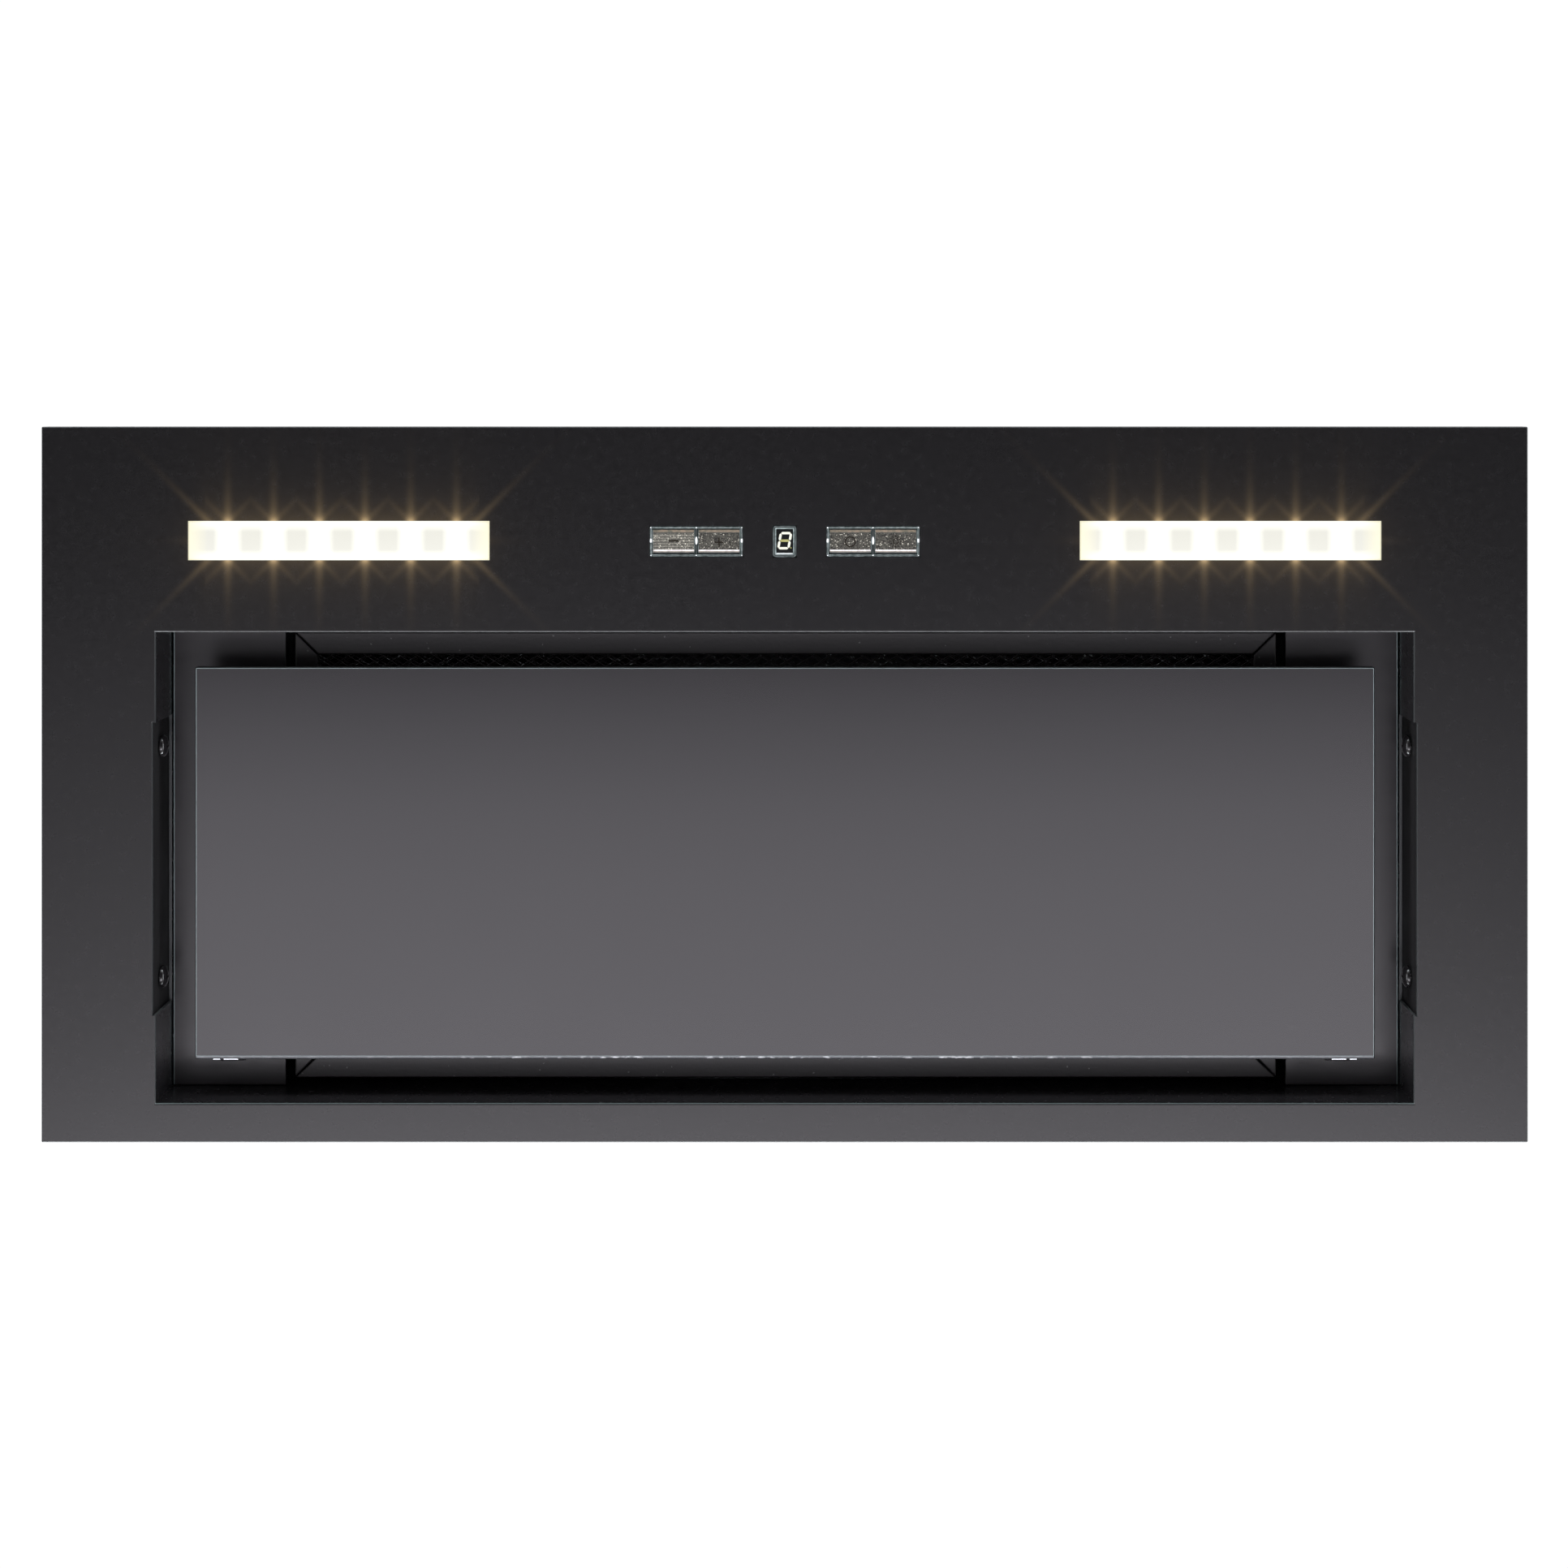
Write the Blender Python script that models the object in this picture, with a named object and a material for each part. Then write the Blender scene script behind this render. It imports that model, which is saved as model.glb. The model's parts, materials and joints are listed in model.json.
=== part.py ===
"""Under-cabinet range hood with perimeter suction, modelled as it hangs.

The origin is the centre of the face panel's underside, +Z is up, the user stands at -Y.
Sizes are in millimetres up to the shape builders below, which make the meshes in metres.
"""

import math

import bmesh
import bpy
from mathutils import Matrix, Vector

MM = 0.001
GAP = 0.3  # running or resting gap between neighbouring pieces

# Face panel: a folded sheet tray with the recess walls welded in.
PANEL_W, PANEL_D = 540.0, 260.0
PANEL_SHEET = 1.2
HEM_H, HEM_LIP = 9.0, 11.0
CORNER_R = 1.0
OPENING_X = 228.5
OPENING_FRONT, OPENING_REAR = -55.3, 115.8
RECESS_WALL, RECESS_H = 0.9, 36.0

# Hood body above the panel.
BODY_X, BODY_Y = 232.3, 118.4
BODY_WALL, BODY_H = 1.0, 200.0
BODY_FLANGE = 14.0
COVER_SCREW_X, COVER_SCREW_Y = 200.0, 110.0

# Controls and lamps, on one line along the front of the panel.
CONTROL_Y = -88.3
LAMP_CENTRE_X, LAMP_CENTRE_Y = 162.0, -88.6
LAMP_W, LAMP_D = 109.0, 14.2
LED_COUNT, LED_PITCH = 6, 16.6
BUTTON_PAIR_X = 32.1
BEZEL_W, BEZEL_D, BEZEL_WALL = 33.6, 10.8, 0.6
BUTTON_W, BUTTON_D, BUTTON_TRAVEL = 15.5, 9.2, 1.0
DISPLAY_W, DISPLAY_D = 8.4, 11.3
BOARD_Z = 9.6

# Suction panel: glass on a sheet tray, hinged behind its rear edge.
GLASS_X, GLASS_FRONT, GLASS_REAR = 216.0, -41.9, 101.7
GLASS_Z, GLASS_T, GLASS_ARRIS = 8.0, 4.0, 1.2
TRAY_X, TRAY_FRONT, TRAY_REAR, TRAY_H = 208.0, -30.0, 90.0, 5.0
HINGE_Y, HINGE_Z, HINGE_X = 100.5, 16.3, 204.8
HINGE_PIN_R, HINGE_BARREL_R = 1.8, 3.8
HINGE_EAR_W, HINGE_LUG_T = 6.0, 2.0

# Grease filter and the plates beside it.
FILTER_Z, FILTER_H = 26.0, 8.0
FILTER_X, FILTER_FRONT, FILTER_REAR = 182.75, -53.1, 112.9
FILTER_RAIL, FILTER_LIP = 8.3, 1.2
SIDE_PLATE_IN, SIDE_PLATE_OUT = 186.3, 227.9
LATCH_Y, LATCH_W = 30.0, 16.0

# Clamps that hold the hood in the cabinet cut-out.
CLAMP_FRONT, CLAMP_REAR = -22.5, 84.0
CLAMP_SCREW_Y = (-12.4, 72.4)
CLAMP_SCREW_Z = 13.0
CLAMP_REACH = 243.0

# Blower: a double-inlet centrifugal fan on a shaft along X, blowing up into the collar.
FAN_Y, FAN_Z = 30.0, 124.0
SCROLL_X, SCROLL_WALL = 52.0, 2.0
SCROLL_START_R, SCROLL_END_R = 69.0, 93.0
INLET_R = 50.0
IMPELLER_R, IMPELLER_X, BLADE_COUNT = 62.0, 44.0, 24
MOTOR_R, SHAFT_R = 36.0, 4.0
COLLAR_Y = FAN_Y - SCROLL_END_R / 2
COLLAR_R, COLLAR_WALL, COLLAR_TOP = 58.0, 1.6, 251.0
FLAP_Z, FLAP_R, FLAP_T, FLAP_PIN_R = 208.0, 56.5, 1.2, 1.6

# Electronics in the bay between the front wall and the blower.
BOX_X, BOX_Y, BOX_Z = (90.0, 210.0), (-117.1, -71.0), (60.0, 110.0)
GLAND_X, GLAND_Y = 150.0, -94.0

COLOURS = {
    "black_powder_coat": ((0.021, 0.019, 0.021), 0.55, 0.0),
    "black_sheet": ((0.028, 0.026, 0.029), 0.5, 0.0),
    "galvanised": ((0.55, 0.56, 0.57), 0.4, 1.0),
    "dark_glass": ((0.035, 0.034, 0.037), 0.08, 0.0),
    "filter_mesh": ((0.06, 0.06, 0.06), 0.35, 1.0),
    "chrome": ((0.8, 0.8, 0.82), 0.12, 1.0),
    "screw_zinc": ((0.45, 0.45, 0.46), 0.25, 1.0),
    "screw_black": ((0.03, 0.03, 0.03), 0.2, 0.6),
    "magnet": ((0.12, 0.12, 0.13), 0.5, 0.6),
    "lamp_lens": ((0.93, 0.9, 0.82), 0.25, 0.0),
    "white_plastic": ((0.8, 0.8, 0.78), 0.45, 0.0),
    "button_plastic": ((0.42, 0.42, 0.43), 0.2, 0.3),
    "clear_plastic": ((0.62, 0.63, 0.65), 0.12, 0.0),
    "display_black": ((0.02, 0.02, 0.02), 0.15, 0.0),
    "black_plastic": ((0.03, 0.03, 0.03), 0.5, 0.0),
    "circuit_board": ((0.05, 0.2, 0.09), 0.45, 0.0),
    "grey_plastic": ((0.3, 0.31, 0.32), 0.5, 0.0),
    "motor_steel": ((0.35, 0.35, 0.37), 0.4, 1.0),
    "cable_grey": ((0.2, 0.2, 0.21), 0.6, 0.0),
}


def clear_scene():
    for thing in list(bpy.data.objects):
        bpy.data.objects.remove(thing, do_unlink=True)


def make_materials():
    for name, (colour, roughness, metallic) in COLOURS.items():
        material = bpy.data.materials.new(name)
        material.use_nodes = True
        shader = material.node_tree.nodes["Principled BSDF"]
        shader.inputs["Base Color"].default_value = (*colour, 1.0)
        shader.inputs["Roughness"].default_value = roughness
        shader.inputs["Metallic"].default_value = metallic


# ---------------------------------------------------------------- shape builders


def add_object(name, mesh_maker):
    """A new object in the scene from a bmesh, closed, facing out and shaded smooth."""
    bmesh.ops.recalc_face_normals(mesh_maker, faces=mesh_maker.faces)
    mesh = bpy.data.meshes.new(name)
    mesh_maker.to_mesh(mesh)
    mesh_maker.free()
    mesh.shade_smooth()
    mesh.set_sharp_from_angle(angle=math.radians(35))
    thing = bpy.data.objects.new(name, mesh)
    bpy.context.scene.collection.objects.link(thing)
    return thing


def on_axis(axis, across, along):
    """The point in metres that is `across` (two numbers) and `along` the named axis."""
    first, second = across
    places = {
        "X": (along, first, second),
        "Y": (first, along, second),
        "Z": (first, second, along),
    }
    return Vector(places[axis]) * MM


def prism(name, axis, outline, low, high):
    """A closed outline, pushed from low to high along an axis."""
    shape = bmesh.new()
    foot = [shape.verts.new(on_axis(axis, point, low)) for point in outline]
    face = shape.faces.new(foot)
    pushed = bmesh.ops.extrude_face_region(shape, geom=[face])["geom"]
    moved = [part for part in pushed if isinstance(part, bmesh.types.BMVert)]
    bmesh.ops.translate(shape, verts=moved, vec=on_axis(axis, (0, 0), high - low))
    return add_object(name, shape)


def block(name, x, y, z):
    """A box between two values on each axis."""
    outline = [(x[0], y[0]), (x[1], y[0]), (x[1], y[1]), (x[0], y[1])]
    return prism(name, "Z", outline, z[0], z[1])


def mirrored(side, low, high):
    """A span along X, on the right for side 1 and on the left for side -1."""
    return (low, high) if side > 0 else (-high, -low)


def circle(centre, radius, steps=24, start=0.0, end=360.0):
    """Points round a circle, or along an arc with both of its ends."""
    whole = end - start >= 360.0
    count = steps if whole else steps + 1
    angles = [math.radians(start + (end - start) * i / steps) for i in range(count)]
    return [
        (centre[0] + radius * math.cos(angle), centre[1] + radius * math.sin(angle))
        for angle in angles
    ]


def rounded(x, y, radius, steps=2):
    """The outline of a rectangle with rounded corners."""
    corners = (
        ((x[1] - radius, y[1] - radius), 0),
        ((x[0] + radius, y[1] - radius), 90),
        ((x[0] + radius, y[0] + radius), 180),
        ((x[1] - radius, y[0] + radius), 270),
    )
    return [
        point
        for centre, start in corners
        for point in circle(centre, radius, steps, start, start + 90)
    ]


def turned(name, axis, centre, profile, steps=24):
    """A solid of revolution. The profile lists (radius, place along the axis)."""
    shape = bmesh.new()
    verts = [shape.verts.new((radius * MM, 0, along * MM)) for radius, along in profile]
    edges = [shape.edges.new(pair) for pair in zip(verts, verts[1:])]
    if profile[0][0] and profile[-1][0]:
        edges.append(shape.edges.new((verts[-1], verts[0])))
    bmesh.ops.spin(
        shape, geom=verts + edges, cent=(0, 0, 0), axis=(0, 0, 1),
        angle=math.tau, steps=steps, use_merge=True,
    )
    bmesh.ops.remove_doubles(shape, verts=shape.verts, dist=1e-6)
    turn = {
        "X": Matrix(((0, 0, 1), (1, 0, 0), (0, 1, 0))),
        "Y": Matrix(((0, 1, 0), (0, 0, 1), (1, 0, 0))),
        "Z": Matrix.Identity(3),
    }
    place = Matrix.Translation(on_axis(axis, centre, 0)) @ turn[axis].to_4x4()
    bmesh.ops.transform(shape, matrix=place, verts=shape.verts)
    return add_object(name, shape)


def rod(name, axis, centre, radius, low, high, steps=16):
    return prism(name, axis, circle(centre, radius, steps), low, high)


def ring(name, axis, centre, inner, outer, low, high, steps=24):
    profile = [(outer, low), (outer, high), (inner, high), (inner, low)]
    return turned(name, axis, centre, profile, steps)


def helper(thing):
    """Turns an object into a tool for a Boolean, which isn't a piece of the hood."""
    thing.hide_render = True
    thing.display_type = "WIRE"
    return thing


def combine(target, others, operation):
    for other in others:
        step = target.modifiers.new(other.name, "BOOLEAN")
        step.operation = operation
        step.solver = "EXACT"
        step.object = helper(other)


def piece(thing, material, add=(), cut=()):
    """Finishes a sub-part: joins the added shapes to it, cuts the holes, gives its material."""
    combine(thing, add, "UNION")
    combine(thing, cut, "DIFFERENCE")
    thing.data.materials.append(bpy.data.materials[material])
    return thing


def bevel(thing, width, segments=1):
    step = thing.modifiers.new("edges", "BEVEL")
    step.width = width * MM
    step.segments = segments
    step.limit_method = "ANGLE"
    return thing


def pivot(name, place, things):
    """An empty on a joint's axis that carries the pieces moving about it."""
    empty = bpy.data.objects.new(name, None)
    empty.location = Vector(place) * MM
    empty.empty_display_size = 0.02
    bpy.context.scene.collection.objects.link(empty)
    inverse = Matrix.Translation(empty.location).inverted()
    for thing in things:
        thing.parent = empty
        thing.matrix_parent_inverse = inverse


def pan_screw(name, axis, centre, seat, tip, material):
    """A pan-head screw: its head sits on `seat` and its shank ends at `tip`."""
    out = 1 if seat > tip else -1
    head = [(0, seat + 2.6 * out), (1.9, seat + 2.4 * out), (3.1, seat + 1.6 * out)]
    shank = [(3.5, seat + 0.5 * out), (3.5, seat), (1.9, seat), (1.9, tip), (0, tip)]
    return piece(turned(name, axis, centre, head + shank, 16), material)


def cable(name, route, radius, material):
    """A fixed lead through hand-picked points, smoothed into a curve and given a bevel."""
    curve = bpy.data.curves.new(name, "CURVE")
    curve.dimensions = "3D"
    curve.bevel_depth = radius * MM
    curve.bevel_resolution = 2
    curve.use_fill_caps = True
    spline = curve.splines.new("POLY")
    points = smooth_route([Vector(point) * MM for point in route], 3)
    spline.points.add(len(points) - 1)
    for target, point in zip(spline.points, points):
        target.co = (*point, 1.0)
    thing = bpy.data.objects.new(name, curve)
    bpy.context.scene.collection.objects.link(thing)
    thing.data.materials.append(bpy.data.materials[material])
    return thing


def smooth_route(points, steps):
    """Catmull-Rom points through the given ones."""
    found = []
    for i in range(len(points) - 1):
        before = points[max(i - 1, 0)]
        start, end = points[i], points[i + 1]
        after = points[min(i + 2, len(points) - 1)]
        for k in range(steps):
            t = k / steps
            found.append(
                0.5 * ((2 * start) + (end - before) * t
                       + (2 * before - 5 * start + 4 * end - after) * t * t
                       + (3 * start - 3 * end + after - before) * t * t * t)
            )
    return found + [points[-1]]


# ---------------------------------------------------------------- face panel and body


def face_panel():
    half_x, half_y = PANEL_W / 2, PANEL_D / 2
    inside_x, inside_y = half_x - PANEL_SHEET, half_y - PANEL_SHEET
    lip_x, lip_y = half_x - HEM_LIP, half_y - HEM_LIP
    outline = rounded((-half_x, half_x), (-half_y, half_y), CORNER_R)
    panel = prism("face_panel", "Z", outline, 0, HEM_H)
    hollow = [
        block("panel_pocket", (-inside_x, inside_x), (-inside_y, inside_y),
              (PANEL_SHEET, HEM_H - PANEL_SHEET)),
        block("panel_top", (-lip_x, lip_x), (-lip_y, lip_y), (HEM_H - 3, HEM_H + 3)),
    ]
    combine(panel, hollow, "DIFFERENCE")
    wall_x = OPENING_X + RECESS_WALL
    wall_y = (OPENING_FRONT - RECESS_WALL, OPENING_REAR + RECESS_WALL)
    walls = block("recess_walls", (-wall_x, wall_x), wall_y, (0.4, RECESS_H))
    opening = prism("panel_opening", "Z",
                    rounded((-OPENING_X, OPENING_X), (OPENING_FRONT, OPENING_REAR), CORNER_R),
                    -2, RECESS_H + 2)
    cuts = [opening, display_hole()]
    for side in (-1, 1):
        cuts += [clamp_window(side), lamp_hole(side), bezel_hole(side)]
    piece(panel, "black_powder_coat", [walls], cuts)


def clamp_window(side):
    window_x = OPENING_X + RECESS_WALL + 0.2
    return block("clamp_window", mirrored(side, OPENING_X - 3, window_x),
                 (CLAMP_FRONT, CLAMP_REAR), (-2, FILTER_Z - 0.5))


def lamp_hole(side):
    centre = side * LAMP_CENTRE_X
    half_w, half_d = LAMP_W / 2 + GAP, LAMP_D / 2 + GAP
    return block("lamp_hole", (centre - half_w, centre + half_w),
                 (LAMP_CENTRE_Y - half_d, LAMP_CENTRE_Y + half_d), (-2, 3))


def bezel_hole(side):
    centre = side * BUTTON_PAIR_X
    half_w, half_d = BEZEL_W / 2 + GAP, BEZEL_D / 2 + GAP
    return block("bezel_hole", (centre - half_w, centre + half_w),
                 (CONTROL_Y - half_d, CONTROL_Y + half_d), (-2, 3))


def display_hole():
    half_w, half_d = DISPLAY_W / 2 + GAP, DISPLAY_D / 2 + GAP
    outline = rounded((-half_w, half_w), (CONTROL_Y - half_d, CONTROL_Y + half_d), 1.2)
    return prism("display_hole", "Z", outline, -2, 3)


def hood_body():
    inner_x, inner_y = BODY_X - BODY_WALL, BODY_Y - BODY_WALL
    foot = PANEL_SHEET + GAP
    body = block("hood_body", (-BODY_X, BODY_X), (-BODY_Y, BODY_Y), (foot, BODY_H))
    throat_x, throat_y = inner_x - BODY_FLANGE, inner_y - BODY_FLANGE
    cuts = [
        block("body_pocket", (-inner_x, inner_x), (-inner_y, inner_y), (-2, BODY_H - BODY_WALL)),
        block("body_throat", (-throat_x, throat_x), (-throat_y, throat_y), (BODY_H - 5, BODY_H + 5)),
    ]
    for side in (-1, 1):
        outside = mirrored(side, BODY_X - 4, BODY_X + 4)
        cuts.append(block("arm_window", outside, (5, 55), (14, 30)))
        cuts += [rod("clamp_screw_hole", "X", (y, CLAMP_SCREW_Z), 2.3, *outside, steps=12)
                 for y in CLAMP_SCREW_Y]
    cuts += cover_screw_holes(BODY_H - 5, BODY_H + 5)
    piece(body, "galvanised", [], cuts)


def cover_screw_places():
    return [(x * COVER_SCREW_X, y * COVER_SCREW_Y) for x in (-1, 1) for y in (-1, 1)]


def cover_screw_holes(low, high):
    return [rod("cover_screw_hole", "Z", place, 2.3, low, high, steps=12)
            for place in cover_screw_places()]


def top_cover():
    """The cover over the body: its outlet is open only where the blower's throat meets the round collar."""
    low, high = BODY_H + GAP, BODY_H + GAP + BODY_WALL
    cover = block("top_cover", (-BODY_X, BODY_X), (-BODY_Y, BODY_Y), (low, high))
    outlet = rod("outlet_hole", "Z", (0, COLLAR_Y), COLLAR_R, low - 2, high + 2, steps=48)
    throat = block("blower_throat", (SCROLL_WALL - SCROLL_X, SCROLL_X - SCROLL_WALL),
                   (FAN_Y - SCROLL_END_R + SCROLL_WALL, FAN_Y - SCROLL_WALL), (low - 4, high + 4))
    combine(outlet, [throat], "INTERSECT")
    gland = rod("gland_hole", "Z", (GLAND_X, GLAND_Y), 8.4, low - 2, high + 2)
    piece(cover, "galvanised", [], [outlet, gland] + cover_screw_holes(low - 2, high + 2))
    names = ("front_left", "rear_left", "front_right", "rear_right")
    for name, place in zip(names, cover_screw_places()):
        pan_screw("cover_screw_" + name, "Z", place, high + GAP, BODY_H - 8, "screw_zinc")


def side_clamps():
    """Each clamp is a plate behind its window in the recess wall, with a sprung arm outside."""
    plate_in = OPENING_X + RECESS_WALL + GAP + 0.1
    plate_out = BODY_X - BODY_WALL - GAP
    for side, word in ((-1, "left"), (1, "right")):
        plate = block("side_clamp_" + word, mirrored(side, plate_in, plate_out),
                      (CLAMP_FRONT - 5, CLAMP_REAR + 5), (PANEL_SHEET + GAP, FILTER_Z))
        arm = block("clamp_arm", mirrored(side, plate_in + 0.4, CLAMP_REACH), (10, 50), (20, 21.2))
        foot = block("clamp_foot", mirrored(side, CLAMP_REACH - 1.2, CLAMP_REACH), (10, 50), (20, 60))
        holes = [rod("plate_hole", "X", (y, CLAMP_SCREW_Z), 2.3,
                     *mirrored(side, plate_in - 2, plate_out + 2), steps=12)
                 for y in CLAMP_SCREW_Y]
        piece(plate, "black_sheet", [arm, foot], holes)
        for y, end in zip(CLAMP_SCREW_Y, ("front", "rear")):
            pan_screw(f"clamp_screw_{word}_{end}", "X", (y, CLAMP_SCREW_Z),
                      side * (plate_in - GAP), side * (BODY_X + 3), "screw_black")


# ---------------------------------------------------------------- suction panel


def hinge_lug_outline(top):
    """A lug round the hinge pin that runs straight up to the side plate, in Y and Z."""
    radius = HINGE_BARREL_R - 0.2
    nose = circle((HINGE_Y, HINGE_Z), radius, 8, 180, 360)
    return nose + [(HINGE_Y + radius, top), (HINGE_Y - radius, top)]


def suction_panel():
    glass = block("glass_panel", (-GLASS_X, GLASS_X), (GLASS_FRONT, GLASS_REAR),
                  (GLASS_Z, GLASS_Z + GLASS_T))
    piece(bevel(glass, GLASS_ARRIS), "dark_glass")
    low = GLASS_Z + GLASS_T + GAP
    top = low + TRAY_H
    tray = block("panel_tray", (-TRAY_X, TRAY_X), (TRAY_FRONT, TRAY_REAR), (low, top))
    pocket = block("tray_pocket", (1 - TRAY_X, TRAY_X - 1), (TRAY_FRONT + 1, TRAY_REAR - 1),
                   (low + 1, top + 2))
    combine(tray, [pocket], "DIFFERENCE")
    ears = []
    holes = []
    for side in (-1, 1):
        span = mirrored(side, HINGE_X - HINGE_EAR_W / 2, HINGE_X + HINGE_EAR_W / 2)
        arm_end = HINGE_Y - HINGE_PIN_R - 3 * GAP
        ears.append(block("ear_arm", span, (TRAY_REAR - 3, arm_end), (low + 0.4, top - 0.4)))
        ears.append(rod("ear_barrel", "X", (HINGE_Y, HINGE_Z), HINGE_BARREL_R, *span))
        holes.append(rod("ear_hole", "X", (HINGE_Y, HINGE_Z), HINGE_PIN_R + GAP,
                         span[0] - 1, span[1] + 1))
    piece(tray, "black_sheet", ears, holes)
    pivot("panel_hinge_axis", (0, HINGE_Y, HINGE_Z), [glass, tray])


def hinge_brackets():
    """Each bracket hangs from its side plate and holds the pin in two lugs, behind the glass."""
    top = FILTER_Z - GAP
    lug_in = HINGE_X - HINGE_EAR_W / 2 - 2 * GAP - HINGE_LUG_T
    lug_out = HINGE_X + HINGE_EAR_W / 2 + 2 * GAP
    bracket_end = lug_out + HINGE_LUG_T
    for side, word in ((-1, "left"), (1, "right")):
        plate = block("hinge_bracket_" + word, mirrored(side, lug_in - 1, bracket_end + 1),
                      (HINGE_Y - 8, HINGE_Y + 4.5), (top - 1.5, top))
        lugs = [prism("hinge_lug", "X", hinge_lug_outline(top - 0.5),
                      *mirrored(side, place, place + HINGE_LUG_T))
                for place in (lug_in, lug_out)]
        hole = rod("lug_hole", "X", (HINGE_Y, HINGE_Z), HINGE_PIN_R + GAP,
                   *mirrored(side, lug_in - 3, bracket_end + 3))
        piece(plate, "black_sheet", lugs, [hole])
        profile = [(0, lug_in - 1), (HINGE_PIN_R, lug_in - 1), (HINGE_PIN_R, bracket_end + GAP),
                   (3, bracket_end + GAP), (3, bracket_end + 1.5), (0, bracket_end + 1.5)]
        profile = [(radius, side * along) for radius, along in profile]
        piece(turned("hinge_pin_" + word, "X", (HINGE_Y, HINGE_Z), profile, 16), "chrome")


def panel_magnets():
    """Magnets hang from the side plates into the tray and hold the panel shut."""
    foot = GLASS_Z + GLASS_T + GAP + 1 + GAP
    for side, word in ((-1, "left"), (1, "right")):
        magnet = block("panel_magnet_" + word, mirrored(side, SIDE_PLATE_IN + 1, SIDE_PLATE_IN + 15),
                       (-16, -6), (foot, FILTER_Z - GAP))
        piece(magnet, "magnet")


# ---------------------------------------------------------------- grease filter


def side_plates():
    """Black sheets that close the recess beside the filter, with their outer edge turned up."""
    span_y = (OPENING_FRONT + GAP, OPENING_REAR - GAP)
    for side, word in ((-1, "left"), (1, "right")):
        plate = block("side_plate_" + word, mirrored(side, SIDE_PLATE_IN, SIDE_PLATE_OUT),
                      span_y, (FILTER_Z, FILTER_Z + 1))
        turned_up = block("plate_edge", mirrored(side, SIDE_PLATE_OUT - 1, SIDE_PLATE_OUT),
                          span_y, (FILTER_Z, FILTER_Z + FILTER_H))
        piece(plate, "black_sheet", [turned_up])


def grease_filter():
    top = FILTER_Z + FILTER_H
    mid_x = FILTER_X - FILTER_RAIL
    frame = block("filter_frame", (-FILTER_X, FILTER_X), (FILTER_FRONT, FILTER_REAR), (FILTER_Z, top))
    cuts = [
        block("filter_opening", (-mid_x, mid_x),
              (FILTER_FRONT + FILTER_RAIL, FILTER_REAR - FILTER_RAIL), (FILTER_Z - 2, top + 2)),
        block("filter_groove", (3 - FILTER_X, FILTER_X - 3), (FILTER_FRONT + 3, FILTER_REAR - 3),
              (FILTER_Z + FILTER_LIP, top - FILTER_LIP)),
    ]
    combine(frame, cuts, "DIFFERENCE")
    tongue_z = (FILTER_Z + 1 + GAP, FILTER_Z + 3)
    tongues = [block("filter_tongue", (-FILTER_X - 12, -FILTER_X + 2), (y, y + 20), tongue_z)
               for y in (-20, 60)]
    strap_y = (LATCH_Y - LATCH_W / 2 - 4, LATCH_Y + LATCH_W / 2 + 4)
    strap = block("latch_strap", (175.5, 181), strap_y, (top - 0.8, top + 4))
    bar_way = block("latch_way", (170, 190), (strap_y[0] + 3, strap_y[1] - 3), (top, top + 2.4))
    combine(strap, [bar_way], "DIFFERENCE")
    piece(frame, "black_sheet", tongues + [strap])
    mesh = block("filter_mesh", (3.4 - FILTER_X, FILTER_X - 3.4), (FILTER_FRONT + 3.4, FILTER_REAR - 3.4),
                 (FILTER_Z + FILTER_LIP + GAP, top - FILTER_LIP - GAP))
    finger_hole = block("finger_hole", (136, 150), (LATCH_Y - 10, LATCH_Y + 10), (FILTER_Z, top))
    piece(mesh, "filter_mesh", [], [finger_hole])
    filter_latch(top + GAP)


def filter_latch(foot):
    """A sliding bar on top of the filter: its hook rests over the right side plate."""
    span_y = (LATCH_Y - LATCH_W / 2, LATCH_Y + LATCH_W / 2)
    bar = block("filter_latch", (145, 189.2), span_y, (foot, foot + 1.5))
    hook = block("latch_hook", (188, 189.2), span_y, (FILTER_Z + 1 + GAP, foot + 1))
    tab = block("latch_tab", (145, 146.5), (LATCH_Y - 6, LATCH_Y + 6), (FILTER_Z - 4, foot + 1))
    piece(bar, "black_plastic", [hook, tab])
    pivot("filter_latch_axis", (SIDE_PLATE_IN, LATCH_Y, foot), [bar])


# ---------------------------------------------------------------- lamps and controls


def lamp(side, word):
    centre = side * LAMP_CENTRE_X
    sheet_top = PANEL_SHEET + GAP

    def centred(width, depth):
        return ((centre - width / 2, centre + width / 2),
                (LAMP_CENTRE_Y - depth / 2, LAMP_CENTRE_Y + depth / 2))

    lens = block("lamp_lens_" + word, *centred(LAMP_W, LAMP_D), (0.2, 5.5))
    shoulder = block("lens_shoulder", *centred(LAMP_W + 4, LAMP_D + 4), (sheet_top, 3.0))
    piece(lens, "lamp_lens", [shoulder])
    housing = block("lamp_housing_" + word, *centred(LAMP_W + 12, LAMP_D + 8), (sheet_top, 14))
    pocket = block("housing_pocket", *centred(LAMP_W + 9, LAMP_D + 5), (-2, 12.6))
    piece(housing, "white_plastic", [], [pocket])
    board = block("lamp_board_" + word, *centred(LAMP_W - 1, LAMP_D - 2), (9, 10.4))
    leds = []
    for i in range(LED_COUNT):
        x = centre + (i - (LED_COUNT - 1) / 2) * LED_PITCH
        leds.append(block("led_chip", (x - 2.5, x + 2.5),
                          (LAMP_CENTRE_Y - 2.5, LAMP_CENTRE_Y + 2.5), (7.4, 9.6)))
    piece(board, "circuit_board", leds)


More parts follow.
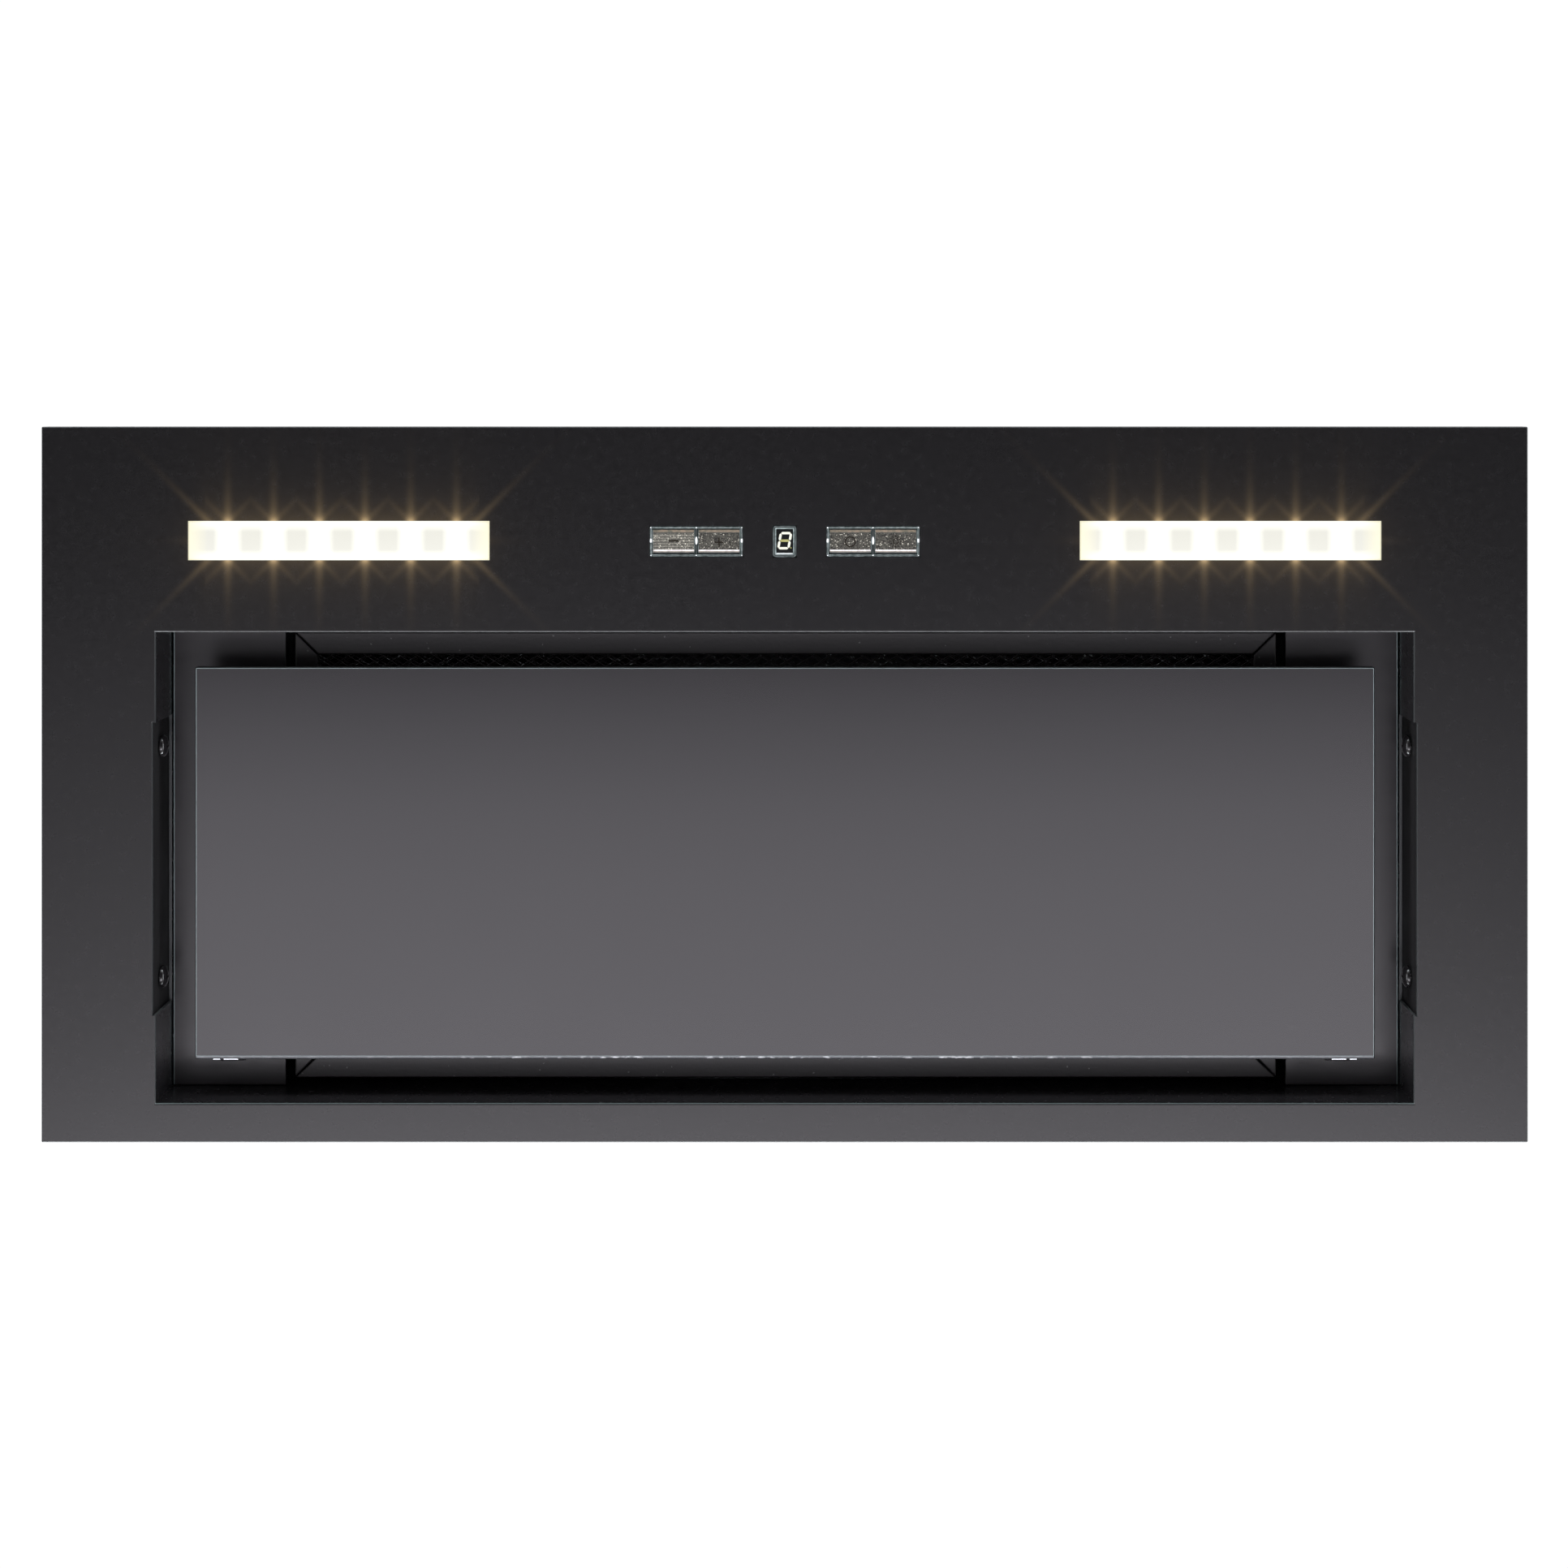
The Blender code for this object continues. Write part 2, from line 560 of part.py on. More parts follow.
def button_pair(side, word, names):
    centre = side * BUTTON_PAIR_X
    pitch = (BEZEL_W - 3 * BEZEL_WALL) / 2 + BEZEL_WALL

    def around(x, width, depth):
        return ((x - width / 2, x + width / 2), (CONTROL_Y - depth / 2, CONTROL_Y + depth / 2))

    bezel = block("button_bezel_" + word, *around(centre, BEZEL_W, BEZEL_D), (0.2, 3.0))
    shoulder = block("bezel_shoulder", *around(centre, BEZEL_W + 4, BEZEL_D + 4),
                     (PANEL_SHEET + GAP, 3.0))
    places = [centre - pitch / 2, centre + pitch / 2]
    windows = [block("bezel_window", *around(x, pitch - BEZEL_WALL, BEZEL_D - 2 * BEZEL_WALL), (-2, 6))
               for x in places]
    piece(bezel, "clear_plastic", [shoulder], windows)
    for name, x in zip(names, places):
        button = block("button_" + name, *around(x, BUTTON_W, BUTTON_D), (0.6, 3.4))
        bevel(button, 0.3)
        stem = block("button_stem", *around(x, 4, 4), (3.0, 6.4))
        piece(button, "button_plastic", [stem])
        pivot(f"button_{name}_axis", (x, CONTROL_Y, 0.6), [button])


def display():
    def around(width, depth):
        return (-width / 2, width / 2), (CONTROL_Y - depth / 2, CONTROL_Y + depth / 2)

    bezel = prism("display_bezel", "Z", rounded(*around(DISPLAY_W, DISPLAY_D), 1.0), 0.2, 3.0)
    shoulder = block("display_shoulder", *around(DISPLAY_W + 4, DISPLAY_D + 4),
                     (PANEL_SHEET + GAP, 3.0))
    window = block("display_window", *around(6.8, 9.6), (-2, 6))
    piece(bezel, "display_black", [shoulder], [window])
    piece(block("display_module", *around(6.2, 9.0), (0.8, BOARD_Z - GAP)), "display_black")


def control_unit():
    """The circuit board with a push switch over each button, and the cover it hangs in."""
    board = block("control_board", (-62, 62), (-106, -72), (BOARD_Z, BOARD_Z + 1.6))
    pitch = (BEZEL_W - 3 * BEZEL_WALL) / 2 + BEZEL_WALL
    switches = []
    for centre in (-BUTTON_PAIR_X, BUTTON_PAIR_X):
        for x in (centre - pitch / 2, centre + pitch / 2):
            switches.append(block("push_switch", (x - 3, x + 3), (CONTROL_Y - 3, CONTROL_Y + 3),
                                  (BOARD_Z - 1.9, BOARD_Z + 0.5)))
    plug = block("board_plug", (44, 56), (-92, -84), (BOARD_Z + 1, BOARD_Z + 8))
    piece(board, "circuit_board", switches + [plug])
    foot = PANEL_SHEET + GAP
    cover = block("control_cover", (-70, 70), (-112, -64), (foot, 22))
    pocket = block("cover_pocket", (-68.5, 68.5), (-110.5, -65.5), (-2, 20.5))
    posts = [rod("cover_post", "Z", (x, y), 3, BOARD_Z + 1.6 + GAP, 21, steps=12)
             for x in (-57, 57) for y in (-102, -76)]
    combine(cover, [pocket], "DIFFERENCE")
    piece(cover, "grey_plastic", posts)


# ---------------------------------------------------------------- blower


def scroll_outline(inset, top):
    """The spiral casing in Y and Z: it opens from the top round to the front and runs straight up."""
    steps = 30
    points = []
    for i in range(steps + 1):
        turn = 1.5 * math.pi * i / steps
        radius = SCROLL_START_R + (SCROLL_END_R - SCROLL_START_R) * i / steps - inset
        points.append((FAN_Y + radius * math.sin(turn), FAN_Z + radius * math.cos(turn)))
    front = FAN_Y - SCROLL_END_R + inset
    return [(FAN_Y - inset, top)] + points + [(front, top)]


def blower_scroll():
    top = BODY_H - BODY_WALL
    for side, word in ((-1, "left"), (1, "right")):
        half = prism("scroll_" + word, "X", scroll_outline(0, top), *mirrored(side, GAP / 2, SCROLL_X))
        inner = prism("scroll_inside", "X", scroll_outline(SCROLL_WALL, top + 8),
                      *mirrored(side, -4, SCROLL_X - SCROLL_WALL))
        inlet = rod("scroll_inlet", "X", (FAN_Y, FAN_Z), INLET_R,
                    *mirrored(side, SCROLL_X - 6, SCROLL_X + 6), steps=36)
        piece(half, "grey_plastic", [], [inner, inlet])


def impeller():
    """Squirrel-cage rotor: a middle disc with its hub, blades and a ring at each end."""
    centre = (FAN_Y, FAN_Z)
    bore = SHAFT_R + GAP
    disc = turned("impeller", "X", centre,
                  [(bore, -5), (10, -5), (10, -1), (IMPELLER_R, -1), (IMPELLER_R, 1), (12, 1),
                   (12, 16), (bore, 16)], 48)
    added = [ring("impeller_ring", "X", centre, IMPELLER_R - 8, IMPELLER_R,
                  *mirrored(side, IMPELLER_X - 3, IMPELLER_X), steps=48) for side in (-1, 1)]
    added.append(impeller_blades(centre))
    rotor = piece(disc, "black_plastic", added)
    shaft = piece(rod("motor_shaft", "X", centre, SHAFT_R, -45, 24), "screw_zinc")
    pivot("impeller_axis", (0, *centre), [rotor, shaft])


def impeller_blades(centre):
    """All the blades as one tool: thin plates set at an angle between the rings."""
    blades = bmesh.new()
    lean = math.radians(25)
    for i in range(BLADE_COUNT):
        angle = math.tau * i / BLADE_COUNT
        size = Matrix.Diagonal((2 * IMPELLER_X - 2, 1.2, 7.2, 1 / MM)) * MM
        out = Matrix.Translation((0, 0, (IMPELLER_R - 4.2) * MM))
        place = Matrix.Rotation(angle, 4, "X") @ out @ Matrix.Rotation(lean, 4, "X") @ size
        bmesh.ops.create_cube(blades, size=1.0, matrix=place)
    shift = Matrix.Translation(Vector((0, *centre)) * MM)
    bmesh.ops.transform(blades, matrix=shift, verts=blades.verts)
    return add_object("impeller_blades", blades)


def motor():
    centre = (FAN_Y, FAN_Z)
    front, back = -6 - 2 * GAP, -58.3
    profile = [(0, back), (MOTOR_R - 4, back), (MOTOR_R, back + 4), (MOTOR_R, front - 6),
               (MOTOR_R - 8, front), (SHAFT_R + GAP, front), (SHAFT_R + GAP, -46), (0, -46)]
    piece(turned("motor_body", "X", centre, profile, 32), "motor_steel")
    disc = rod("motor_bracket", "X", centre, 20, back - 3.4, back - GAP, steps=24)
    rim = ring("bracket_rim", "X", centre, INLET_R + 4, INLET_R + 14,
               back - 3.4, -SCROLL_X - GAP, steps=36)
    arms = [bracket_arm(centre, math.radians(90 + 120 * i), back) for i in range(3)]
    piece(disc, "motor_steel", [rim] + arms)


def bracket_arm(centre, angle, back):
    """One spoke from the bracket's disc out to its rim."""
    along = Vector((math.cos(angle), math.sin(angle)))
    across = Vector((-along.y, along.x)) * 5
    middle = Vector(centre)
    inner, outer = middle + along * 16, middle + along * (INLET_R + 8)
    outline = [inner - across, outer - across, outer + across, inner + across]
    return prism("bracket_spoke", "X", [tuple(point) for point in outline], back - 3.2, back - GAP - 0.2)


# ---------------------------------------------------------------- outlet


def outlet_collar():
    """A plain spigot for the duct, and the flat ring that holds it down on the top cover."""
    foot = BODY_H + BODY_WALL + 2 * GAP
    outer = COLLAR_R + COLLAR_WALL
    centre = (0, COLLAR_Y)
    collar = ring("outlet_collar", "Z", centre, COLLAR_R, outer, foot, COLLAR_TOP, steps=48)
    pin_span = (COLLAR_Y - outer - 1.5, COLLAR_Y + outer + 1.5)
    hole = rod("flap_pin_hole", "Y", (0, FLAP_Z), FLAP_PIN_R + GAP, pin_span[0] - 2, pin_span[1] + 2)
    piece(collar, "galvanised", [], [hole])
    piece(ring("collar_ring", "Z", centre, outer + GAP, COLLAR_R + 14, foot, foot + 1.6, steps=48),
          "galvanised")
    piece(rod("flap_pin", "Y", (0, FLAP_Z), FLAP_PIN_R, *pin_span), "screw_zinc")


def outlet_flaps():
    """Two half-round non-return flaps whose knuckles share one pin."""
    straight, barrel = 3.6, 3.2
    knuckles = {-1: (-46, 4), 1: (-24, 26)}
    for side, word in ((-1, "left"), (1, "right")):
        reach = math.degrees(math.acos(straight / FLAP_R))
        middle = 0 if side > 0 else 180
        outline = circle((0, COLLAR_Y), FLAP_R, 20, middle - reach, middle + reach)
        low, high = FLAP_Z - FLAP_T / 2, FLAP_Z + FLAP_T / 2
        flap = prism("flap_" + word, "Z", outline, low, high)
        barrels = []
        for start in knuckles[side]:
            span = (COLLAR_Y + start, COLLAR_Y + start + 20)
            barrels.append(ring("flap_barrel", "Y", (0, FLAP_Z), FLAP_PIN_R + GAP, barrel,
                                *span, steps=12))
            barrels.append(block("flap_web", mirrored(side, 2.5, 6), (span[0] + 1, span[1] - 1),
                                 (low + 0.1, high - 0.1)))
        piece(flap, "galvanised", barrels)
        pivot(f"flap_{word}_axis", (0, COLLAR_Y, FLAP_Z), [flap])


# ---------------------------------------------------------------- electronics


def electronics():
    wall = 2.0
    box = block("electronics_box", BOX_X, BOX_Y, BOX_Z)
    inside = [(span[0] + wall, span[1] - wall) for span in (BOX_X, BOX_Y)]
    pocket = block("box_pocket", *inside, (BOX_Z[0] + wall, BOX_Z[1] + 2))
    combine(box, [pocket], "DIFFERENCE")
    post_x = (inside[0][0] + 6, inside[0][1] - 6)
    post_y = (inside[1][0] + 6, inside[1][1] - 6)
    posts = [rod("board_post", "Z", (x, y), 2.5, BOX_Z[0] + 1, BOX_Z[0] + 7, steps=12)
             for x in post_x for y in post_y]
    piece(box, "grey_plastic", posts)
    lid_z = BOX_Z[1] + GAP
    lid = block("electronics_cover", BOX_X, BOX_Y, (lid_z, lid_z + wall))
    rib = block("cover_rib", *[(span[0] + 0.5, span[1] - 0.5) for span in inside], (lid_z - 4, lid_z + 0.5))
    rib_pocket = block("rib_pocket", *[(span[0] + 2, span[1] - 2) for span in inside],
                       (lid_z - 6, lid_z + 0.3))
    combine(rib, [rib_pocket], "DIFFERENCE")
    piece(lid, "grey_plastic", [rib])
    board_z = BOX_Z[0] + 7 + GAP
    board_spans = [(span[0] + 1.5, span[1] - 1.5) for span in inside]
    board = block("power_board", *board_spans, (board_z, board_z + 1.6))
    fitted = [
        block("transformer", (100, 132), (-108, -80), (board_z + 1, board_z + 26)),
        block("relay_front", (142, 162), (-112, -98), (board_z + 1, board_z + 16)),
        block("relay_rear", (142, 162), (-92, -78), (board_z + 1, board_z + 16)),
        block("terminal_block", (172, 204), (-110, -98), (board_z + 1, board_z + 14)),
    ]
    piece(board, "circuit_board", fitted)


def capacitor():
    centre = (-94, 90)
    can = turned("motor_capacitor", "X", centre,
                 [(0, -160), (15, -160), (16, -159), (16, -101), (15, -100), (0, -100)], 24)
    foot = block("capacitor_foot", (-150, -112), (-117.1, -100), (84, 96))
    piece(can, "white_plastic", [foot])


def cable_gland():
    """The mains inlet: a hexagonal body through the top cover with a domed nut. It holds no cord."""
    centre = (GLAND_X, GLAND_Y)
    seat = BODY_H + BODY_WALL + 2 * GAP
    body = prism("cable_gland", "Z", circle(centre, 11, 6), seat, seat + 5)
    nut = turned("gland_nut", "Z", centre,
                 [(0, seat + 4), (9.5, seat + 4), (9.5, seat + 12), (7, seat + 16), (0, seat + 16)], 24)
    thread = rod("gland_thread", "Z", centre, 8, seat - 14, seat + 1, steps=24)
    bore = rod("gland_bore", "Z", centre, 3.6, seat - 16, seat + 20)
    piece(body, "black_plastic", [nut, thread], [bore])


def leads():
    """Fixed leads inside the hood, each held by the parts at its two ends."""
    cable("control_lead", [(50, -88, 22.4), (52, -88, 32), (70, -89, 44), (98, -91, 47),
                           (116, -93, 50), (120, -94, 55), (120, -94, 59.2)], 2.5, "cable_grey")
    cable("motor_lead", [(89.2, -94, 86), (84, -94, 86), (70, -93, 87), (30, -90, 91), (-30, -88, 98),
                         (-68, -78, 106), (-84, -40, 116), (-84, 0, 122), (-80, 20, 124),
                         (-70, 29, 124), (-62.4, 30, 124)], 2.5, "cable_grey")


def build():
    clear_scene()
    make_materials()
    face_panel()
    hood_body()
    top_cover()
    side_clamps()
    suction_panel()
    hinge_brackets()
    panel_magnets()
    side_plates()
    grease_filter()
    for side, word in ((-1, "left"), (1, "right")):
        lamp(side, word)
    button_pair(-1, "left", ("minus", "plus"))
    button_pair(1, "right", ("power", "light"))
    display()
    control_unit()
    blower_scroll()
    impeller()
    motor()
    outlet_collar()
    outlet_flaps()
    electronics()
    capacitor()
    cable_gland()
    leads()


build()
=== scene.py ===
"""The looks of an under cabinet range hood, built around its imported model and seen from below."""

import json
import math

import bmesh
import bpy
from mathutils import Matrix, Vector

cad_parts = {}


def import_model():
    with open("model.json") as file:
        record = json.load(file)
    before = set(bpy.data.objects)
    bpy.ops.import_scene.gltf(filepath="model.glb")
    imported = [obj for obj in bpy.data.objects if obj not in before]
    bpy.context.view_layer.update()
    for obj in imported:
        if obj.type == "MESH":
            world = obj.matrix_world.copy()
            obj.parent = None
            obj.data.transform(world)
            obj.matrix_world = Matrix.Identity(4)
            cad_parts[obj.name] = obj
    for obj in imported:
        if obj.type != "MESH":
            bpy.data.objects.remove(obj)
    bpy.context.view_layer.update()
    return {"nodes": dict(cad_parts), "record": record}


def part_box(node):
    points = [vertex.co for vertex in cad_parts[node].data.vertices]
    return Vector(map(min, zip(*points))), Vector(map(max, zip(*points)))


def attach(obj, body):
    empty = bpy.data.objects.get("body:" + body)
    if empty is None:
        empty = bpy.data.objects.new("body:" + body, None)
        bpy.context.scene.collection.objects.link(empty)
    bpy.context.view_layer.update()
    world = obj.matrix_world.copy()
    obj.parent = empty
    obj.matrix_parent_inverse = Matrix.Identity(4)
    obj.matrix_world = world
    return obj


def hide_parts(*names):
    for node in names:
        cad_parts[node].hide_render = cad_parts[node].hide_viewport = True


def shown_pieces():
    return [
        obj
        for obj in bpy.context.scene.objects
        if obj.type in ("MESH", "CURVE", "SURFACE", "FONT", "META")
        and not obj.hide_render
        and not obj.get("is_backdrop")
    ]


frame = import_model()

MM = 0.001
SHEET = 1.1 * MM          # folded steel sheet
FOLD_R = 0.55 * MM        # radius of a fold in it
SHOULDER = 2 * MM         # how far a frame's shoulder reaches behind the sheet
LED_PITCH = 16.6 * MM
LED_SHIFT = 1.3 * MM      # the row sits this much nearer the hood's middle than its lens
LAMP_LENGTH = 109 * MM
LAMP_WIDTH = 13.7 * MM
SIDES = ((-1, "left"), (1, "right"))


def middle_of(node):
    low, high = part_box(node)
    return (low + high) / 2


LAMP_X, LAMP_Y, _ = middle_of("lamp_lens_right")


# ---------------------------------------------------------------- materials

class Nodes:
    """Short calls that make the nodes of one node tree."""

    def __init__(self, tree):
        self.tree = tree

    def fill(self, node, inputs):
        for key, value in inputs.items():
            if isinstance(value, bpy.types.NodeSocket):
                self.tree.links.new(value, node.inputs[key])
            else:
                node.inputs[key].default_value = value

    def node(self, kind, inputs, **properties):
        made = self.tree.nodes.new("ShaderNode" + kind)
        for key, value in properties.items():
            setattr(made, key, value)
        self.fill(made, inputs)
        return made

    def place(self, stretch=(1, 1, 1)):
        """Object coordinates, in metres, multiplied by stretch."""
        coordinates = self.node("TexCoord", {}).outputs["Object"]
        if stretch == (1, 1, 1):
            return coordinates
        return self.node("Mapping", {"Vector": coordinates, "Scale": stretch}).outputs[0]

    def axes(self):
        """The object coordinates' X, Y and Z."""
        return self.node("SeparateXYZ", {"Vector": self.place()}).outputs

    def noise(self, size, detail=2.0, stretch=(1, 1, 1)):
        """Noise whose features are about size metres across."""
        inputs = {"Vector": self.place(stretch), "Scale": 1 / size, "Detail": detail}
        return self.node("TexNoise", inputs).outputs[0]

    def cells(self, size, feature="F1"):
        inputs = {"Vector": self.place(), "Scale": 1 / size}
        return self.node("TexVoronoi", inputs, feature=feature)

    def chance(self, size):
        """Three numbers from 0 to 1, drawn anew for each cell of about size metres."""
        return self.node("SeparateColor", {"Color": self.cells(size).outputs["Color"]}).outputs

    def math(self, operation, *values):
        """The operation on the first two values, then on its result and the third, and so on."""
        found = values[0]
        if len(values) == 1:
            return self.node("Math", {0: found}, operation=operation).outputs[0]
        for value in values[1:]:
            found = self.node("Math", {0: found, 1: value}, operation=operation).outputs[0]
        return found

    def times(self, *values):
        return self.math("MULTIPLY", *values)

    def plus(self, *values):
        return self.math("ADD", *values)

    def minus(self, first, second):
        return self.math("SUBTRACT", first, second)

    def size(self, value):
        """The value without its sign."""
        return self.math("ABSOLUTE", value)

    def span(self, value, low, high, start=0.0, end=1.0, shape="LINEAR"):
        """value taken from low..high to start..end, and held there."""
        inputs = {"Value": value, "From Min": low, "From Max": high, "To Min": start, "To Max": end}
        return self.node("MapRange", inputs, interpolation_type=shape).outputs[0]

    def blend(self, share, first, second):
        """The colour that goes from first to second as share goes from 0 to 1."""
        made = self.node("Mix", {0: share}, data_type="RGBA")
        for key, value in ((6, first), (7, second)):
            self.fill(made, {key: value if isinstance(value, bpy.types.NodeSocket) else (*value, 1)})
        return made.outputs[2]


class Finish(Nodes):
    """One procedural material: a Principled shader and the nodes that feed it."""

    def __init__(self, name, color, rough, **values):
        self.name = name
        self.material = bpy.data.materials.new(name)
        self.material.use_nodes = True
        self.material.diffuse_color = (*color, 1)
        super().__init__(self.material.node_tree)
        self.shader = self.tree.nodes["Principled BSDF"]
        self.fill(self.shader, {"Base Color": (*color, 1), "Roughness": rough})
        self.fill(self.shader, {key.replace("_", " "): value for key, value in values.items()})
        self.normal = None

    def drive(self, name, socket):
        self.tree.links.new(socket, self.shader.inputs[name])

    def bump(self, height, depth, strength=1.0):
        """Adds relief, depth metres high, over what is there already."""
        inputs = {"Height": height, "Distance": depth, "Strength": strength}
        if self.normal:
            inputs["Normal"] = self.normal
        self.normal = self.node("Bump", inputs).outputs[0]
        self.drive("Normal", self.normal)


def powder_coat():
    """Fine textured black powder coat: an orange-peel skin, lit amber close to the lamps, with highlights
    painted along its folds and shade and light painted into the recess.
    """
    finish = Finish("black_powder_coat", (0.006, 0.0056, 0.006), 0.3, Specular_IOR_Level=0.38,
                    Emission_Strength=1.0)
    _, depth, height = finish.axes()
    peel = finish.noise(0.9 * MM, 3.0)
    finish.bump(peel, 0.045 * MM, finish.span(height, 1.3 * MM, 3 * MM, 0.3, 0.04))
    finish.bump(finish.noise(14 * MM, 1.0), 0.1 * MM, 0.12)
    fold = finish.times(finish.span(height, 0.03 * MM, 0.12 * MM), finish.span(height, 0.9 * MM, 0.6 * MM))
    rough = finish.span(finish.noise(3 * MM), 0.3, 0.7, 0.22, 0.28)
    finish.drive("Roughness", finish.minus(rough, finish.times(fold, 0.12)))
    tint = finish.blend(finish.span(peel, 0.35, 0.7), (0.005, 0.0047, 0.005), (0.0085, 0.008, 0.0085))
    # Painted highlight: the coat along the folds is made lighter.
    tint = finish.blend(fold, tint, (0.03, 0.032, 0.033))
    # Painted shade and light in the recess: darker towards its front, lighter towards its rear.
    rearward = finish.span(depth, -50 * MM, 110 * MM)
    recess = finish.blend(rearward, (0.0025, 0.0022, 0.0026), (0.012, 0.011, 0.0122))
    tint = finish.blend(finish.span(height, 1.3 * MM, 3 * MM), tint, recess)
    # Painted highlight along the fold at the rear of the opening.
    tint = finish.blend(rear_fold_highlight(finish, depth, height), tint, (0.09, 0.11, 0.11))
    finish.drive("Base Color", tint)
    finish.drive("Emission Color", lamp_glow(finish))
    return finish


def rear_fold_highlight(finish, depth, height):
    """1 along the fold at the rear of the opening, where a highlight is painted into the coat."""
    sides = ((depth, 115.4, 115.7), (depth, 116.1, 116.0), (height, 0.12, 0.2), (height, 0.9, 0.8))
    return finish.times(*(finish.span(value, out * MM, full * MM) for value, out, full in sides))


def fading(finish, distance, reach):
    """1 at no distance, falling off exponentially: 0.37 at reach."""
    return finish.math("EXPONENT", finish.math("DIVIDE", distance, -reach))


def narrow(finish, distance, width):
    """A soft line: 1 at no distance, falling off as a bell curve."""
    share = finish.math("DIVIDE", distance, width)
    return finish.math("EXPONENT", finish.times(share, share, -1.0))


def led_distances(finish):
    """Sockets, all along X: how far a point is from its lamp's middle (less than 0 on the side of the
    hood's middle), from the nearest LED and from the middle of the row of LEDs."""
    x = finish.axes()[0]
    across = finish.minus(finish.size(x), LAMP_X)
    from_row = finish.plus(across, LED_SHIFT)
    between = finish.math("PINGPONG", finish.plus(from_row, LED_PITCH * 10), LED_PITCH / 2)
    return across, finish.minus(LED_PITCH / 2, between), finish.size(from_row)


def lamp_glow(finish):
    """Light that the two lamps spill on the sheet round them: a halo, and a streak from each LED."""
    split = finish.axes()
    across, from_led, from_middle = led_distances(finish)
    beside = finish.size(across)
    along = finish.size(finish.minus(split[1], LAMP_Y))
    past_edge = finish.math("MAXIMUM", finish.minus(along, LAMP_WIDTH / 2), 0.0)
    past_end = finish.math("MAXIMUM", finish.minus(beside, LAMP_LENGTH / 2 - 6 * MM), 0.0)
    inside = finish.math("LESS_THAN", from_middle, LED_PITCH * 3)
    halo = finish.times(fading(finish, past_edge, 5 * MM), fading(finish, past_end, 3 * MM), 0.045)
    haze = finish.times(fading(finish, past_edge, 22 * MM), fading(finish, past_end, 18 * MM), 0.005)
    flare = finish.plus(finish.times(fading(finish, past_edge, 1.2 * MM), 0.45),
                        finish.times(fading(finish, past_edge, 7 * MM), 0.09))
    streak = finish.times(narrow(finish, from_led, 1.5 * MM), flare, inside)
    lattice = narrow(finish, finish.minus(from_led, past_edge), 1.6 * MM)
    lattice = finish.times(lattice, fading(finish, past_edge, 4.5 * MM), inside, 0.05)
    fan_x = finish.minus(from_middle, LED_PITCH * 2.5)
    fan = narrow(finish, finish.minus(fan_x, along), 1.7 * MM)
    fan = finish.times(fan, fading(finish, past_edge, 7 * MM), finish.span(fan_x, 0.0, 5 * MM), 0.07)
    side = finish.times(narrow(finish, along, 1.5 * MM), fading(finish, past_end, 4.5 * MM), 0.05)
    below = finish.span(split[2], 0.0, 1 * MM, 1.0, 0.0)
    level = finish.times(finish.plus(halo, haze, streak, lattice, fan, side), below)
    return finish.blend(level, (0, 0, 0), (1.0, 0.70, 0.35))


def lamp_lens():
    """Frosted lens, lit from inside by six LEDs: white over each, a little creamier between them."""
    finish = Finish("lamp_lens", (0.15, 0.15, 0.14), 0.35, Emission_Strength=1.0)
    y = finish.axes()[1]
    across, from_led, from_middle = led_distances(finish)
    beyond = finish.math("GREATER_THAN", from_middle, LED_PITCH * 2.5 + 6 * MM)
    from_led = finish.math("MAXIMUM", from_led, finish.times(beyond, 5.4 * MM))
    edge = finish.size(finish.minus(y, LAMP_Y))
    patch = finish.times(finish.span(from_led, 2.2 * MM, 5.4 * MM), finish.span(edge, 6.4 * MM, 3.2 * MM))
    end = finish.span(finish.size(across), LAMP_LENGTH / 2 - 7 * MM, LAMP_LENGTH / 2)
    glow = finish.blend(patch, (1.0, 1.0, 0.90), (0.66, 0.65, 0.58))
    finish.drive("Emission Color", finish.blend(end, glow, (0.84, 0.80, 0.58)))
    finish.bump(finish.noise(0.5 * MM), 0.03 * MM, 0.3)
    return finish


def satin_black():
    """Satin black paint on sheet steel, rubbed a little smoother in places."""
    finish = Finish("satin_black", (0.017, 0.0155, 0.017), 0.34, Specular_IOR_Level=0.55)
    finish.bump(finish.noise(0.7 * MM), 0.05 * MM, 0.4)
    rubbed = finish.noise(18 * MM, 4.0, (1, 3, 1))
    finish.drive("Roughness", finish.span(rubbed, 0.3, 0.7, 0.28, 0.40))
    finish.drive("Base Color", finish.blend(rubbed, (0.018, 0.0165, 0.0185), (0.029, 0.027, 0.029)))
    return finish


def mottled(name, color, rough, dark, light, size, detail=2.0, stretch=(1, 1, 1), relief=0.0, strength=0.4,
            **values):
    """A finish whose colour wanders from dark to light over about size metres, with relief to match."""
    finish = Finish(name, color, rough, **values)
    cloud = finish.noise(size, detail, stretch)
    finish.drive("Base Color", finish.blend(cloud, dark, light))
    if relief:
        finish.bump(cloud, relief, strength)
    return finish


def galvanised():
    """Hot-dip galvanised sheet: crystals of zinc, each with its own brightness and grain."""
    finish = Finish("galvanised", (0.5, 0.51, 0.52), 0.42, Metallic=1.0)
    shade = finish.chance(11 * MM)[0]
    frost = finish.noise(2 * MM, 4.0)
    finish.drive("Base Color", finish.blend(shade, (0.34, 0.35, 0.36), (0.50, 0.51, 0.52)))
    finish.drive("Roughness", finish.span(finish.plus(shade, frost), 0.3, 1.6, 0.34, 0.52))
    finish.bump(shade, 0.02 * MM, 0.4)
    finish.bump(frost, 0.03 * MM, 0.3)
    return finish


def painted_glass():
    """The face of a sheet of glass painted dark grey on its back: smooth, with the faintest smudges."""
    finish = Finish("dark_glass", (0.023, 0.0218, 0.0245), 0.05, IOR=1.52, Specular_IOR_Level=0.82)
    smudge = finish.noise(45 * MM, 3.0)
    finish.drive("Roughness", finish.span(smudge, 0.35, 0.75, 0.045, 0.09))
    finish.drive("Base Color", finish.blend(smudge, (0.0215, 0.0202, 0.0228), (0.0248, 0.0235, 0.0262)))
    return finish


